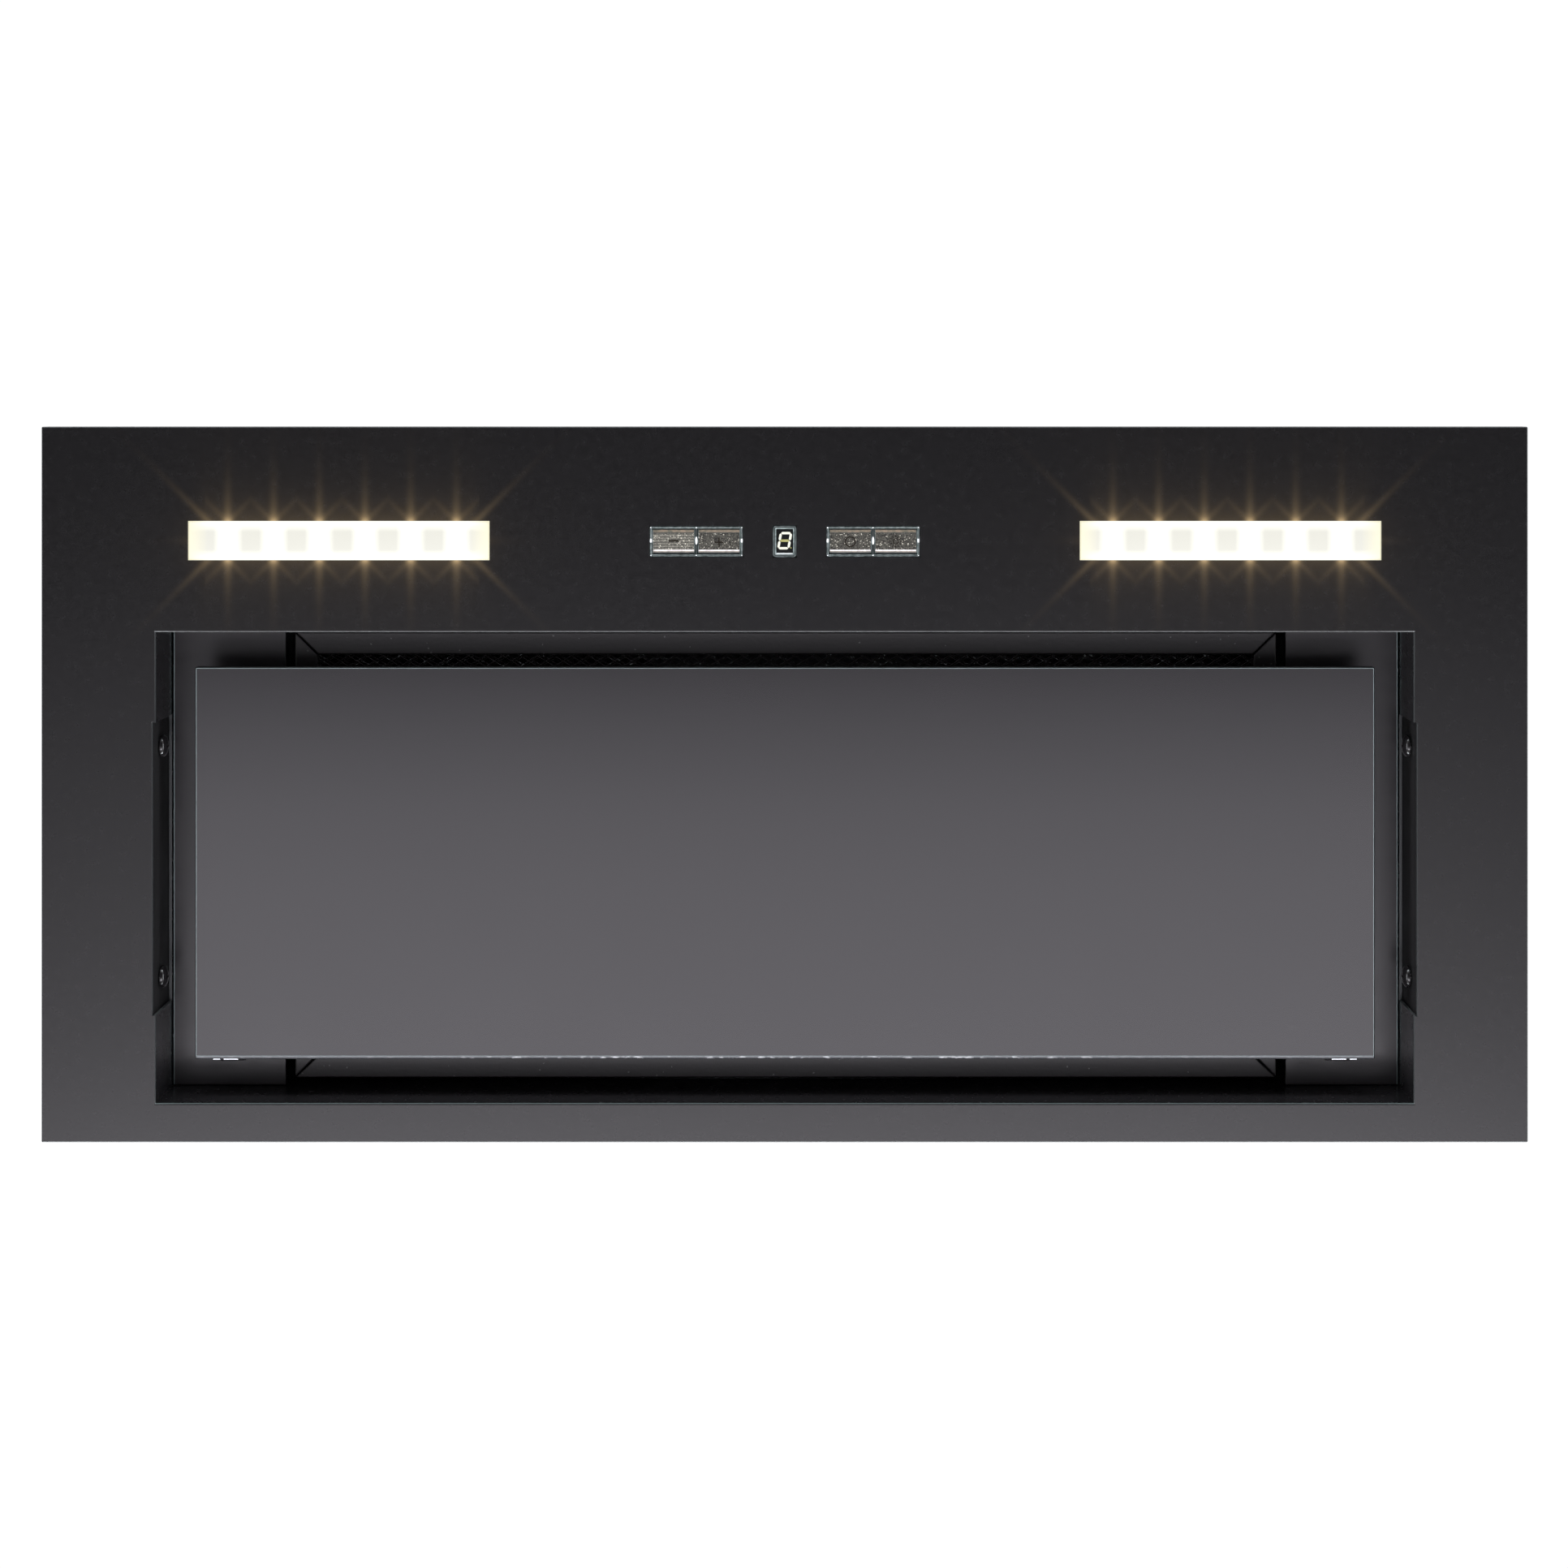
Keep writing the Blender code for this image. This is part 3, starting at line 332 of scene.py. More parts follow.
def glass_margin():
    """Clear glass beyond the paint: dark, with glints painted in, a painted reflection of the filter's
    specks behind it.
    """
    finish = Finish("glass_margin", (0.05, 0.055, 0.06), 0.1, IOR=1.52, Coat_Weight=0.6,
                    Coat_Roughness=0.05)
    painted_glints = finish.noise(1.1 * MM, 3.0, (0.3, 1, 1))
    middle = finish.size(finish.axes()[0])
    painted_glints = finish.times(finish.span(painted_glints, 0.52, 0.66),
                          finish.span(middle, 90 * MM, 125 * MM, 1.0, 0.12))
    finish.drive("Base Color", finish.blend(painted_glints, (0.085, 0.09, 0.1), (0.6, 0.62, 0.64)))
    return finish


def filter_black():
    """The filter's coated frame: the same black as the body, rougher, with a few bright specks."""
    finish = Finish("filter_black", (0.016, 0.0145, 0.0155), 0.36, Specular_IOR_Level=0.55)
    flakes = finish.chance(0.5 * MM)[0]
    glint = finish.math("GREATER_THAN", flakes, 0.998)
    finish.drive("Base Color", finish.blend(glint, (0.016, 0.0145, 0.0155), (0.12, 0.12, 0.12)))
    finish.bump(finish.noise(1.2 * MM, 3.0), 0.10 * MM, 0.5)
    return finish


def mesh_metal():
    """Dark coated aluminium strands, with specks of bare metal where the coating is thin; the specks are
    painted near white, a painted highlight for their glints.
    """
    finish = Finish("mesh_metal", (0.05, 0.044, 0.045), 0.4, Specular_IOR_Level=0.6)
    specks = finish.chance(0.8 * MM)[1]
    bare = finish.span(specks, 0.955, 0.985)
    finish.drive("Base Color", finish.blend(bare, (0.05, 0.044, 0.045), (0.75, 0.78, 0.80)))
    finish.drive("Roughness", finish.span(finish.noise(1.3 * MM), 0.3, 0.7, 0.5, 0.3))
    return finish


def plated(name, color, rough, depth=0.03 * MM):
    """Plated or bare metal with a faint turned grain."""
    finish = Finish(name, color, rough, Metallic=1.0)
    grain = finish.noise(1.5 * MM, 3.0)
    darker = tuple(part * 0.8 for part in color)
    finish.drive("Base Color", finish.blend(grain, darker, color))
    finish.drive("Roughness", finish.span(grain, 0.3, 0.7, rough * 0.8, rough * 1.3))
    finish.bump(grain, depth, 0.3)
    return finish


def moulded(name, color, rough, grain=0.6 * MM, depth=0.04 * MM, **values):
    """Moulded plastic or painted part: a fine spark-eroded grain and slightly uneven gloss."""
    finish = Finish(name, color, rough, **values)
    texture = finish.noise(grain, 2.0)
    cloud = finish.noise(25 * MM, 3.0)
    finish.bump(texture, depth, 0.4)
    finish.drive("Roughness", finish.span(cloud, 0.3, 0.7, rough * 0.85, min(rough * 1.15, 1)))
    finish.drive("Base Color", finish.blend(cloud, tuple(part * 0.88 for part in color), color))
    return finish


def circuit_board():
    """Green solder mask with paler tracks under it."""
    finish = Finish("circuit_board", (0.02, 0.12, 0.05), 0.35)
    tracks = finish.cells(4 * MM, "DISTANCE_TO_EDGE").outputs["Distance"]
    line = finish.span(tracks, 0.04, 0.10)
    finish.drive("Base Color", finish.blend(line, (0.06, 0.22, 0.09), (0.02, 0.12, 0.05)))
    finish.bump(line, 0.03 * MM, 0.5)
    return finish


def button_film(name, banded):
    """Silver-grey film full of metal flakes, under the clear cap. One button's film is finely ruled too."""
    finish = Finish(name, (0.08, 0.072, 0.058), 0.35, Specular_IOR_Level=0.3)
    flakes = finish.chance(0.33 * MM)
    base = finish.span(flakes[0], 0.0, 1.0, 0.006, 0.11)
    spark = finish.times(finish.math("GREATER_THAN", flakes[1], 0.95), 0.4)
    level = finish.plus(base, spark)
    if banded:
        y = finish.axes()[1]
        rule = finish.math("PINGPONG", y, 0.5 * MM)
        level = finish.times(finish.plus(level, 0.05), finish.span(rule, 0, 0.5 * MM, 0.5, 2.0))
    finish.drive("Base Color", finish.blend(level, (0, 0, 0), (1.0, 0.95, 0.80)))
    return finish


def acrylic_highlight(name, color, darker):
    """Painted light on an acrylic edge or bead: a highlight, uneven along its length."""
    finish = Finish(name, color, 0.15, Coat_Weight=0.5, Coat_Roughness=0.03)
    along = finish.noise(1.6 * MM, 2.0)
    finish.drive("Base Color", finish.blend(finish.span(along, 0.35, 0.65), darker, color))
    return finish


def lit_segment(name, color):
    """A lit bar of the display, a little hotter in its middle."""
    finish = Finish(name, (0.1, 0.1, 0.1), 0.4, Emission_Strength=1.0)
    glow = finish.noise(0.9 * MM, 1.0)
    finish.drive("Emission Color", finish.blend(glow, tuple(0.8 * part for part in color), color))
    return finish


FINISHES = {finish.name: finish for finish in (
    button_film("button_film", False),
    button_film("button_film_banded", True),
    mottled("clear_plastic", (0.04, 0.05, 0.05), 0.2, (0.015, 0.019, 0.019),
            (0.08, 0.09, 0.09), 2.2 * MM, Specular_IOR_Level=0.3),
    # Painted highlights on the clear frames' rims and beads and on the caps' bevels; the beige is a painted
    # reflection on the caps' bevels.
    acrylic_highlight("clear_rim_highlight", (0.40, 0.47, 0.46), (0.13, 0.165, 0.16)),
    acrylic_highlight("clear_highlight", (0.95, 0.97, 0.97), (0.75, 0.78, 0.78)),
    acrylic_highlight("cap_highlight", (0.95, 0.94, 0.92), (0.72, 0.66, 0.64)),
    acrylic_highlight("cap_beige_reflection", (0.30, 0.235, 0.175), (0.16, 0.15, 0.115)),
    moulded("symbol_ink", (0.010, 0.0065, 0.002), 0.6, 0.3 * MM, 0.01 * MM, Specular_IOR_Level=0.2),
    moulded("display_black", (0.008, 0.009, 0.009), 0.12, 0.4 * MM, 0.005 * MM),
    lit_segment("segment_lit", (1.0, 1.0, 0.84)),
    # The unlit bars glow faintly too: a painted glow.
    lit_segment("segment_unlit", (0.38, 0.36, 0.035)),
    powder_coat(),
    satin_black(),
    # Painted highlight along the outer fold of the side plates beside the filter.
    mottled("plate_fold_highlight", (0.36, 0.44, 0.44), 0.35, (0.26, 0.33, 0.33), (0.46, 0.55, 0.55),
            1.2 * MM, 3.0, (1, 0.4, 1), 0.02 * MM),
    # Cut edges of the sheet, made lighter than its coat: a painted highlight.
    moulded("sheet_edge_highlight", (0.075, 0.08, 0.082), 0.35),
    moulded("clamp_black", (0.008, 0.0074, 0.008), 0.5, Specular_IOR_Level=0.25),
    galvanised(),
    painted_glass(),
    mottled("glass_edge", (0.02, 0.024, 0.025), 0.18, (0.014, 0.018, 0.019),
            (0.030, 0.036, 0.038), 0.6 * MM, relief=0.02 * MM, strength=0.3, IOR=1.52),
    # Painted highlight: the bright line just inside the glass's arrises.
    mottled("glass_arris_highlight", (0.36, 0.45, 0.45), 0.15, (0.30, 0.385, 0.385),
            (0.42, 0.51, 0.51), 2.5 * MM, IOR=1.52),
    glass_margin(),
    lamp_lens(),
    filter_black(),
    mesh_metal(),
    plated("chrome", (0.80, 0.80, 0.82), 0.12),
    plated("screw_zinc", (0.52, 0.52, 0.53), 0.28),
    moulded("screw_black", (0.012, 0.011, 0.012), 0.12, depth=0.01 * MM),
    plated("motor_steel", (0.35, 0.35, 0.37), 0.35),
    mottled("magnet", (0.07, 0.07, 0.075), 0.5, (0.045, 0.045, 0.05), (0.10, 0.10, 0.105),
            0.4 * MM, relief=0.04 * MM, Metallic=0.3),
    moulded("white_plastic", (0.78, 0.78, 0.75), 0.42),
    moulded("black_plastic", (0.018, 0.018, 0.019), 0.45),
    moulded("grey_plastic", (0.27, 0.28, 0.29), 0.5),
    moulded("cable_grey", (0.16, 0.16, 0.165), 0.55),
    circuit_board(),
)}


# ---------------------------------------------------------------- pieces

def new_piece(name, mesh_maker, finishes, body="hood", smooth=None):
    """An object made by mesh_maker(bm), in frame coordinates, with these finishes, riding on a body.
    Faces that meet at under smooth degrees are shaded as one surface."""
    mesh = bpy.data.meshes.new(name)
    bm = bmesh.new()
    mesh_maker(bm)
    bm.to_mesh(mesh)
    bm.free()
    if smooth:
        mesh.shade_smooth()
        mesh.set_sharp_from_angle(angle=math.radians(smooth))
    thing = bpy.data.objects.new(name, mesh)
    bpy.context.scene.collection.objects.link(thing)
    for finish in finishes:
        mesh.materials.append(FINISHES[finish].material)
    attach(thing, body)
    return thing


def bevel(thing, width, segments=3, angle=30, clamp=True):
    made = thing.modifiers.new("bevel", "BEVEL")
    made.width = width
    made.segments = segments
    made.limit_method = "ANGLE"
    made.angle_limit = math.radians(angle)
    made.use_clamp_overlap = clamp
    return made


def solidify(thing, thickness):
    """Gives a surface its thickness, behind the side that its faces point to."""
    made = thing.modifiers.new("thickness", "SOLIDIFY")
    made.thickness = thickness
    made.offset = -1
    made.material_offset_rim = 1


def quad(bm, *corners):
    return bm.faces.new([bm.verts.new(corner) for corner in corners])


def box(bm, low, high):
    """A closed box between two corners."""
    size = Vector(high) - Vector(low)
    middle = (Vector(high) + Vector(low)) / 2
    matrix = Matrix.Translation(middle) @ Matrix.Diagonal((*size, 1))
    return bmesh.ops.create_cube(bm, size=1, matrix=matrix)["verts"]


def ball(bm, place, turn, size, steps):
    """A sphere stretched to these half sizes, turned and put in its place."""
    matrix = Matrix.Translation(place) @ turn.to_4x4() @ Matrix.Diagonal((*size, 1))
    return bmesh.ops.create_uvsphere(bm, u_segments=steps, v_segments=10, radius=1, matrix=matrix)["verts"]


def bridge(bm, first, second, finish=0):
    """Faces that join two closed loops of corners, the same number in each."""
    afters = [(n + 1) % len(first) for n in range(len(first))]
    faces = [bm.faces.new((first[n], first[after], second[after], second[n]))
             for n, after in enumerate(afters)]
    for face in faces:
        face.material_index = finish
    return faces


def flat_shape(bm, outline, low, high, finish=0):
    """A thin prism over an outline of (x, y) points."""
    bottom, top = ([bm.verts.new((x, y, z)) for x, y in outline] for z in (low, high))
    for face in (bm.faces.new(bottom[::-1]), bm.faces.new(top)):
        face.material_index = finish
    bridge(bm, bottom, top, finish)


def circle(x, y, radius, steps):
    """Points of a level circle, as (x, y)."""
    turns = [2 * math.pi * n / steps for n in range(steps)]
    return [(x + radius * math.cos(turn), y + radius * math.sin(turn)) for turn in turns]


def facing(direction):
    """The turn that takes Z to direction."""
    return Vector((0, 0, 1)).rotation_difference(Vector(direction)).to_matrix()


def merge(bm):
    bmesh.ops.remove_doubles(bm, verts=bm.verts[:], dist=0.01 * MM)


# ---------------------------------------------------------------- face panel

def span_of(node, axis, grow=0.0):
    low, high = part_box(node)
    return low[axis] - grow, high[axis] + grow


def flange_holes():
    """The rectangles cut in the flange for the lamps, the buttons and the display."""
    clearance = 0.3 * MM
    trim = clearance - SHOULDER
    holes = []
    for side in ("left", "right"):
        middle = middle_of("lamp_housing_" + side)
        half = Vector((LAMP_LENGTH, LAMP_WIDTH)) / 2 + Vector((clearance, clearance))
        holes.append((middle.x - half.x, middle.x + half.x, middle.y - half.y, middle.y + half.y))
        holes.append(span_of("button_bezel_" + side, 0, trim) + span_of("button_bezel_" + side, 1, trim))
    holes.append(span_of("display_bezel", 0, trim) + span_of("display_bezel", 1, trim))
    return holes


OPENING_X = 228.5 * MM
OPENING_Y = (-55.3 * MM, 115.8 * MM)
WINDOW_Y = (-22.5 * MM, 84 * MM)
WINDOW_TOP = 25.5 * MM
NOTCH = 1.1 * MM          # how far the flange is cut back where a clamp looks through
ROLL = 1.3 * MM           # height of the rolled edge there
RECESS_TOP = 36 * MM
HEM_H = 9 * MM
LIP = 11 * MM


def flange(bm):
    """The flat front sheet: a grid over every edge in it, without the cells that fall in a hole."""
    low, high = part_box("face_panel")
    holes = flange_holes()
    xs = {low.x, high.x, -OPENING_X, OPENING_X, -OPENING_X - NOTCH, OPENING_X + NOTCH}
    ys = {low.y, high.y, *OPENING_Y, *WINDOW_Y}
    for hole in holes:
        xs |= set(hole[:2])
        ys |= set(hole[2:])
    holes.append((-OPENING_X, OPENING_X, *OPENING_Y))
    holes.append((-OPENING_X - NOTCH, OPENING_X + NOTCH, *WINDOW_Y))
    xs, ys = sorted(xs), sorted(ys)
    for x0, x1 in zip(xs, xs[1:]):
        for y0, y1 in zip(ys, ys[1:]):
            x, y = (x0 + x1) / 2, (y0 + y1) / 2
            if any(hole[0] < x < hole[1] and hole[2] < y < hole[3] for hole in holes):
                continue
            quad(bm, (x0, y0, 0), (x0, y1, 0), (x1, y1, 0), (x1, y0, 0))


def recess_walls(bm):
    """The four walls folded up round the opening, with a window for the clamp in each side wall."""
    (y0, y1), (w0, w1), x = OPENING_Y, WINDOW_Y, OPENING_X
    quad(bm, (-x, y0, 0), (x, y0, 0), (x, y0, RECESS_TOP), (-x, y0, RECESS_TOP))
    quad(bm, (x, y1, 0), (-x, y1, 0), (-x, y1, RECESS_TOP), (x, y1, RECESS_TOP))
    for side in (-1, 1):
        wall_x, edge_x = side * x, side * (x + NOTCH)
        pieces = [(wall_x, y0, w0, 0, WINDOW_TOP), (wall_x, y0, w0, WINDOW_TOP, RECESS_TOP),
                  (wall_x, w0, w1, WINDOW_TOP, RECESS_TOP), (wall_x, w1, y1, WINDOW_TOP, RECESS_TOP),
                  (wall_x, w1, y1, 0, WINDOW_TOP), (edge_x, w0, w1, 0, ROLL)]
        for at, start, end, low, high in pieces:
            first, last = (end, start) if side > 0 else (start, end)
            quad(bm, (at, last, low), (at, first, low), (at, first, high), (at, last, high))


def hem(bm):
    """The rim folded up round the outside, and the lip folded in from it."""
    low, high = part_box("face_panel")
    outer = [(low.x, low.y), (high.x, low.y), (high.x, high.y), (low.x, high.y)]
    inner = [(x - math.copysign(LIP, x), y - math.copysign(LIP, y)) for x, y in outer]
    for n in range(4):
        a, b = outer[n], outer[(n + 1) % 4]
        c, d = inner[(n + 1) % 4], inner[n]
        quad(bm, (*a, HEM_H), (*b, HEM_H), (*b, 0), (*a, 0))
        quad(bm, (*d, HEM_H), (*c, HEM_H), (*b, HEM_H), (*a, HEM_H))


def subdivide_to_flange(bm):
    """Puts a corner on every wall and rim edge where the flange has one, so that the folds are shared."""
    for edge in [e for e in bm.edges if len(e.link_faces) == 1]:
        low, high = edge.verts[0].co.copy(), edge.verts[1].co.copy()
        along = high - low
        if along.length < 1e-9 or max(low.z, high.z) > 1e-6:
            continue
        cuts = []
        for vert in bm.verts:
            offset = vert.co - low
            share = offset.dot(along) / along.length_squared
            if 1e-5 < share < 1 - 1e-5 and (offset - along * share).length < 1e-7:
                cuts.append(share)
        done = 0.0
        start = edge.verts[0]
        for share in sorted(set(round(cut, 7) for cut in cuts)):
            _, start = bmesh.utils.edge_split(edge, start, (share - done) / (1 - done))
            done = share


def face_panel(bm):
    flange(bm)
    recess_walls(bm)
    hem(bm)
    merge(bm)
    subdivide_to_flange(bm)
    merge(bm)
    bmesh.ops.recalc_face_normals(bm, faces=bm.faces[:])
    below = min(bm.faces, key=lambda face: face.calc_center_median().z)
    if below.normal.z > 0:
        bmesh.ops.reverse_faces(bm, faces=bm.faces[:])


def make_front_panel():
    panel = new_piece("front_panel", face_panel, ["black_powder_coat", "sheet_edge_highlight"])
    bevel(panel, FOLD_R, 4, 60, clamp=False)
    solidify(panel, SHEET)
    bevel(panel, 0.12 * MM, 2, 60)
    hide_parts("face_panel")


make_front_panel()


# ---------------------------------------------------------------- plates beside the filter

PLATE_IN = 186.3 * MM
PLATE_OUT = 228.2 * MM
PLATE_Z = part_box("side_plate_left")[0].z
PLATE_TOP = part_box("side_plate_left")[1].z


def swept_profile(bm, profile, bands, y0, y1, side):
    """A closed (x, z) profile run along Y, mirrored for the left side. Band n has material bands[n]."""
    rows = [[bm.verts.new((side * x, y, z)) for x, z in profile] for y in (y0, y1)]
    for face, band in zip(bridge(bm, *rows), bands):
        face.material_index = band
    for row in rows:
        bm.faces.new(row)
    bmesh.ops.recalc_face_normals(bm, faces=bm.faces[:])


def plate_for(word, side):
    def plate(bm):
        """Sheet with its outer edge turned up beside the recess wall, and a highlight painted along the
        rounded fold there.
        """
        low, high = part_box("side_plate_" + word)
        top = PLATE_Z + 1 * MM
        profile = [(PLATE_IN, top), (PLATE_IN, PLATE_Z), (PLATE_OUT - 0.55 * MM, PLATE_Z),
                   (PLATE_OUT - 0.2 * MM, PLATE_Z + 0.15 * MM), (PLATE_OUT, PLATE_Z + 0.6 * MM),
                   (PLATE_OUT, PLATE_TOP), (PLATE_OUT - 1 * MM, PLATE_TOP), (PLATE_OUT - 1 * MM, top)]
        # Band 1 of the finishes is the painted highlight along the fold.
        swept_profile(bm, profile, (0, 0, 1, 0, 0, 0, 0, 0), low.y, high.y, side)
    return plate


def make_side_plates():
    for side, word in SIDES:
        plate = new_piece("recess_plate_" + word, plate_for(word, side), ["satin_black", "plate_fold_highlight"])
        bevel(plate, 0.2 * MM, 2, 60)
        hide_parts("side_plate_" + word)


make_side_plates()


# ---------------------------------------------------------------- suction panel

GLASS_ARRIS = 0.4 * MM
# Width of a highlight painted as a bright line just inside the arris:
GLASS_HIGHLIGHT = 0.18 * MM    # bright line just inside the arris
GLASS_MARGIN = 0.7 * MM   # unpainted strip along the glass's rear edge


def glass_sheet(bm):
    """Toughened glass with small round corners, ground arrises, a highlight painted as a thin line just
    inside them and a clear strip along its rear edge.
    """
    low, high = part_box("glass_panel")
    box(bm, low, high)
    upright = [e for e in bm.edges if abs(e.verts[0].co.z - e.verts[1].co.z) > 1 * MM]
    bmesh.ops.bevel(bm, geom=upright, offset=0.7 * MM, segments=4, profile=0.5, affect="EDGES")
    rims = [e for e in bm.edges if abs(e.verts[0].co.z - e.verts[1].co.z) < 0.1 * MM
            and e.calc_face_angle() > 1]
    bmesh.ops.bevel(bm, geom=rims, offset=GLASS_ARRIS, segments=1, affect="EDGES")
    inset = GLASS_ARRIS + GLASS_HIGHLIGHT
    margin = high.y - GLASS_ARRIS - GLASS_MARGIN
    left, right, front, rear = low.x + inset, high.x - inset, low.y + inset, margin - GLASS_HIGHLIGHT
    for place, across in ((left, (1, 0, 0)), (right, (1, 0, 0)), (front, (0, 1, 0)),
                          (rear, (0, 1, 0)), (margin, (0, 1, 0))):
        everything = bm.verts[:] + bm.edges[:] + bm.faces[:]
        bmesh.ops.bisect_plane(bm, geom=everything, plane_co=Vector(across) * place, plane_no=across)
    bm.normal_update()
    for face in bm.faces:
        middle = face.calc_center_median()
        if abs(face.normal.z) < 0.99:
            face.material_index = 1
        elif left < middle.x < right and front < middle.y < rear:
            face.material_index = 0
        else:
            face.material_index = 2 if middle.y < margin else 3


def clip_for(side):
    def clip(bm):
        """A plated clip with two teeth round the rear edge of the glass, in front of the hinge ear."""
        low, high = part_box("glass_panel")
        back = high.y + 0.2 * MM
        for start, end in ((200.2, 205.6), (206.8, 209.4)):
            x = sorted((side * start * MM, side * end * MM))
            box(bm, (x[0], high.y - 0.15 * MM, low.z - 0.04 * MM), (x[1], back, high.z + 0.2 * MM))
        x = sorted((side * 200.2 * MM, side * 209.4 * MM))
        box(bm, (x[0], high.y - 6 * MM, high.z + 0.02 * MM), (x[1], back, high.z + 0.25 * MM))
    return clip


def make_suction_panel():
    finishes = ["dark_glass", "glass_edge", "glass_arris_highlight", "glass_margin"]
    glass = new_piece("glass_sheet", glass_sheet, finishes, "suction_panel")
    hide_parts("glass_panel")
    for side, word in SIDES:
        clip = new_piece("glass_clip_" + word, clip_for(side), ["chrome"], "suction_panel")
        bevel(clip, 0.12 * MM, 3)


make_suction_panel()


# ---------------------------------------------------------------- grease filter

RAIL = 8.3 * MM
MITRE_GAP = 0.5 * MM
CELL_X = 6.4 * MM
CELL_Y = 4.0 * MM
STRAND = 0.55 * MM


def mitred_rail(bm, centre, half_length, angle, outward, low, high):
    """One rail of the frame, its ends cut at 45 degrees, made along X and then turned into place."""
    outer, inner = half_length, half_length - RAIL
    gap = MITRE_GAP / 2
    outline = [(gap - outer, -outward), (outer - gap, -outward),
               (inner - gap, RAIL - outward), (gap - inner, RAIL - outward)]
    turn = Matrix.Rotation(angle, 2)
    flat_shape(bm, [centre + turn @ Vector(point) for point in outline], low, high)


def filter_rails(bm):
    """Four mitred rails, the tongues that hook over the left side plate and the latch's strap."""
    low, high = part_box("filter_mesh")
    edge = 3.4 * MM
    half_x = high.x + edge
    centre = Vector((0, (low.y + high.y) / 2))
    half_y = (high.y - low.y) / 2 + edge
    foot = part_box("side_plate_left")[0].z
    top = foot + 8 * MM
    for angle, along, out in ((0, half_x, half_y), (math.pi, half_x, half_y),
                              (math.pi / 2, half_y, half_x), (-math.pi / 2, half_y, half_x)):
        mitred_rail(bm, centre, along, angle, out, foot, top)
    for y in (-20 * MM, 60 * MM):
        box(bm, (-half_x - 12 * MM, y, foot + 1.3 * MM), (-half_x + 2 * MM, y + 20 * MM, foot + 3 * MM))
    for y0, y1 in ((18, 21.2), (38.8, 42)):
        box(bm, (175.5 * MM, y0 * MM, top - 0.8 * MM), (181 * MM, y1 * MM, top + 4 * MM))
    box(bm, (175.5 * MM, 18 * MM, top + 2.4 * MM), (181 * MM, 42 * MM, top + 4 * MM))


def strand_net(bm, z, shift):
    """Rhombic cells of expanded metal over the whole filter, without those in the latch's finger hole."""
    low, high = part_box("filter_mesh")
    columns = int((high.x - low.x) / CELL_X)
    rows = int((high.y - low.y) / CELL_Y)
    start = Vector((-columns * CELL_X / 2 + shift, (low.y + high.y - rows * CELL_Y) / 2))
    latch_low, latch_high = 135 * MM, 151 * MM
    for row in range(2 * rows - 1):
        offset = CELL_X / 2 if row % 2 else 0
        for column in range(columns - row % 2):
            x = start.x + offset + (column + 0.5) * CELL_X
            y = start.y + (row + 1) * CELL_Y / 2
            if latch_low < x < latch_high and 18 * MM < y < 42 * MM:
                continue
            corners = [(x - CELL_X / 2, y), (x, y - CELL_Y / 2), (x + CELL_X / 2, y), (x, y + CELL_Y / 2)]
            quad(bm, *((*corner, z) for corner in corners))
    merge(bm)


def net_layer(name, z, shift):
    def net(bm):
        strand_net(bm, z, shift)
    layer = new_piece(name, net, ["mesh_metal"])
    wires = layer.modifiers.new("strands", "WIREFRAME")
    wires.thickness = STRAND
    wires.use_even_offset = False
    return layer


def make_filter():
    rails = new_piece("filter_rails", filter_rails, ["filter_black"])
    bevel(rails, 0.5 * MM, 2, 40)
    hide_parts("filter_frame")
    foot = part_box("filter_mesh")[0].z
    for n, (rise, shift) in enumerate(((0.6, 0.0), (2.2, 1.9), (3.8, 0.9))):
        layer = net_layer(f"filter_net_{n + 1}", foot + rise * MM, shift * MM)
        if n == 0:
            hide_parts("filter_mesh")


make_filter()


# ---------------------------------------------------------------- lamps

def lens_for(side):
    def lens(bm):
        """The lens's face with its snap-in shoulder behind the sheet."""
        low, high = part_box("lamp_lens_" + side)
        x, y, _ = (low + high) / 2
        half_x, half_y = LAMP_LENGTH / 2, LAMP_WIDTH / 2
        box(bm, (x - half_x, y - half_y, low.z), (x + half_x, y + half_y, high.z))
        bottom = [e for e in bm.edges if e.verts[0].co.z + e.verts[1].co.z < 2 * low.z + 0.1 * MM]
        bmesh.ops.bevel(bm, geom=bottom, offset=0.35 * MM, segments=3, profile=0.5, affect="EDGES")
        box(bm, (low.x, low.y, 1.5 * MM), (high.x, high.y, 3 * MM))
    return lens


def make_lamps():
    for side in ("left", "right"):
        lens = new_piece("lens_" + side, lens_for(side), ["lamp_lens"], smooth=40)
        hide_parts("lamp_lens_" + side)


make_lamps()


# ---------------------------------------------------------------- buttons and display

CONTROL_Y = middle_of("display_module").y
FACE_Z = 0.6 * MM         # face of a button at rest
SYMBOL_T = 0.05 * MM

# A cap's folds from front to rear, each as (mm behind its middle, mm above its face), and which of the cap's
# finishes each strip between two folds has. The bevels' strips carry a painted highlight and a painted
# reflection.
CAP_STATIONS = [(-4.6, 0.4), (-4.2, 0.1), (-3.25, 0.0), (-3.0, 0.0), (3.0, 0.0), (3.55, 0.08), (3.95, 0.15),
                (4.6, 0.4)]
CAP_STRIPS = (0, 2, 0, 4, 3, 2, 0)


def loop_round(centre, half, radius, z, steps=4):
    """Points round a rectangle with rounded corners."""
    points = []
    for quarter in range(4):
        side_x, side_y = ((1, 1), (-1, 1), (-1, -1), (1, -1))[quarter]
        middle = (centre[0] + side_x * (half[0] - radius), centre[1] + side_y * (half[1] - radius))
        for step in range(steps + 1):
            angle = math.radians(90 * quarter + 90 * step / steps)
            points.append((middle[0] + radius * math.cos(angle), middle[1] + radius * math.sin(angle), z))
    return points


def banded_ring(bm, loops, bands):
    """Joins each loop of points to the next, and the last to the first. Band n has material bands[n]."""
    rows = [[bm.verts.new(point) for point in loop] for loop in loops]
    for n, band in enumerate(bands):
        bridge(bm, rows[n], rows[(n + 1) % len(rows)], band)


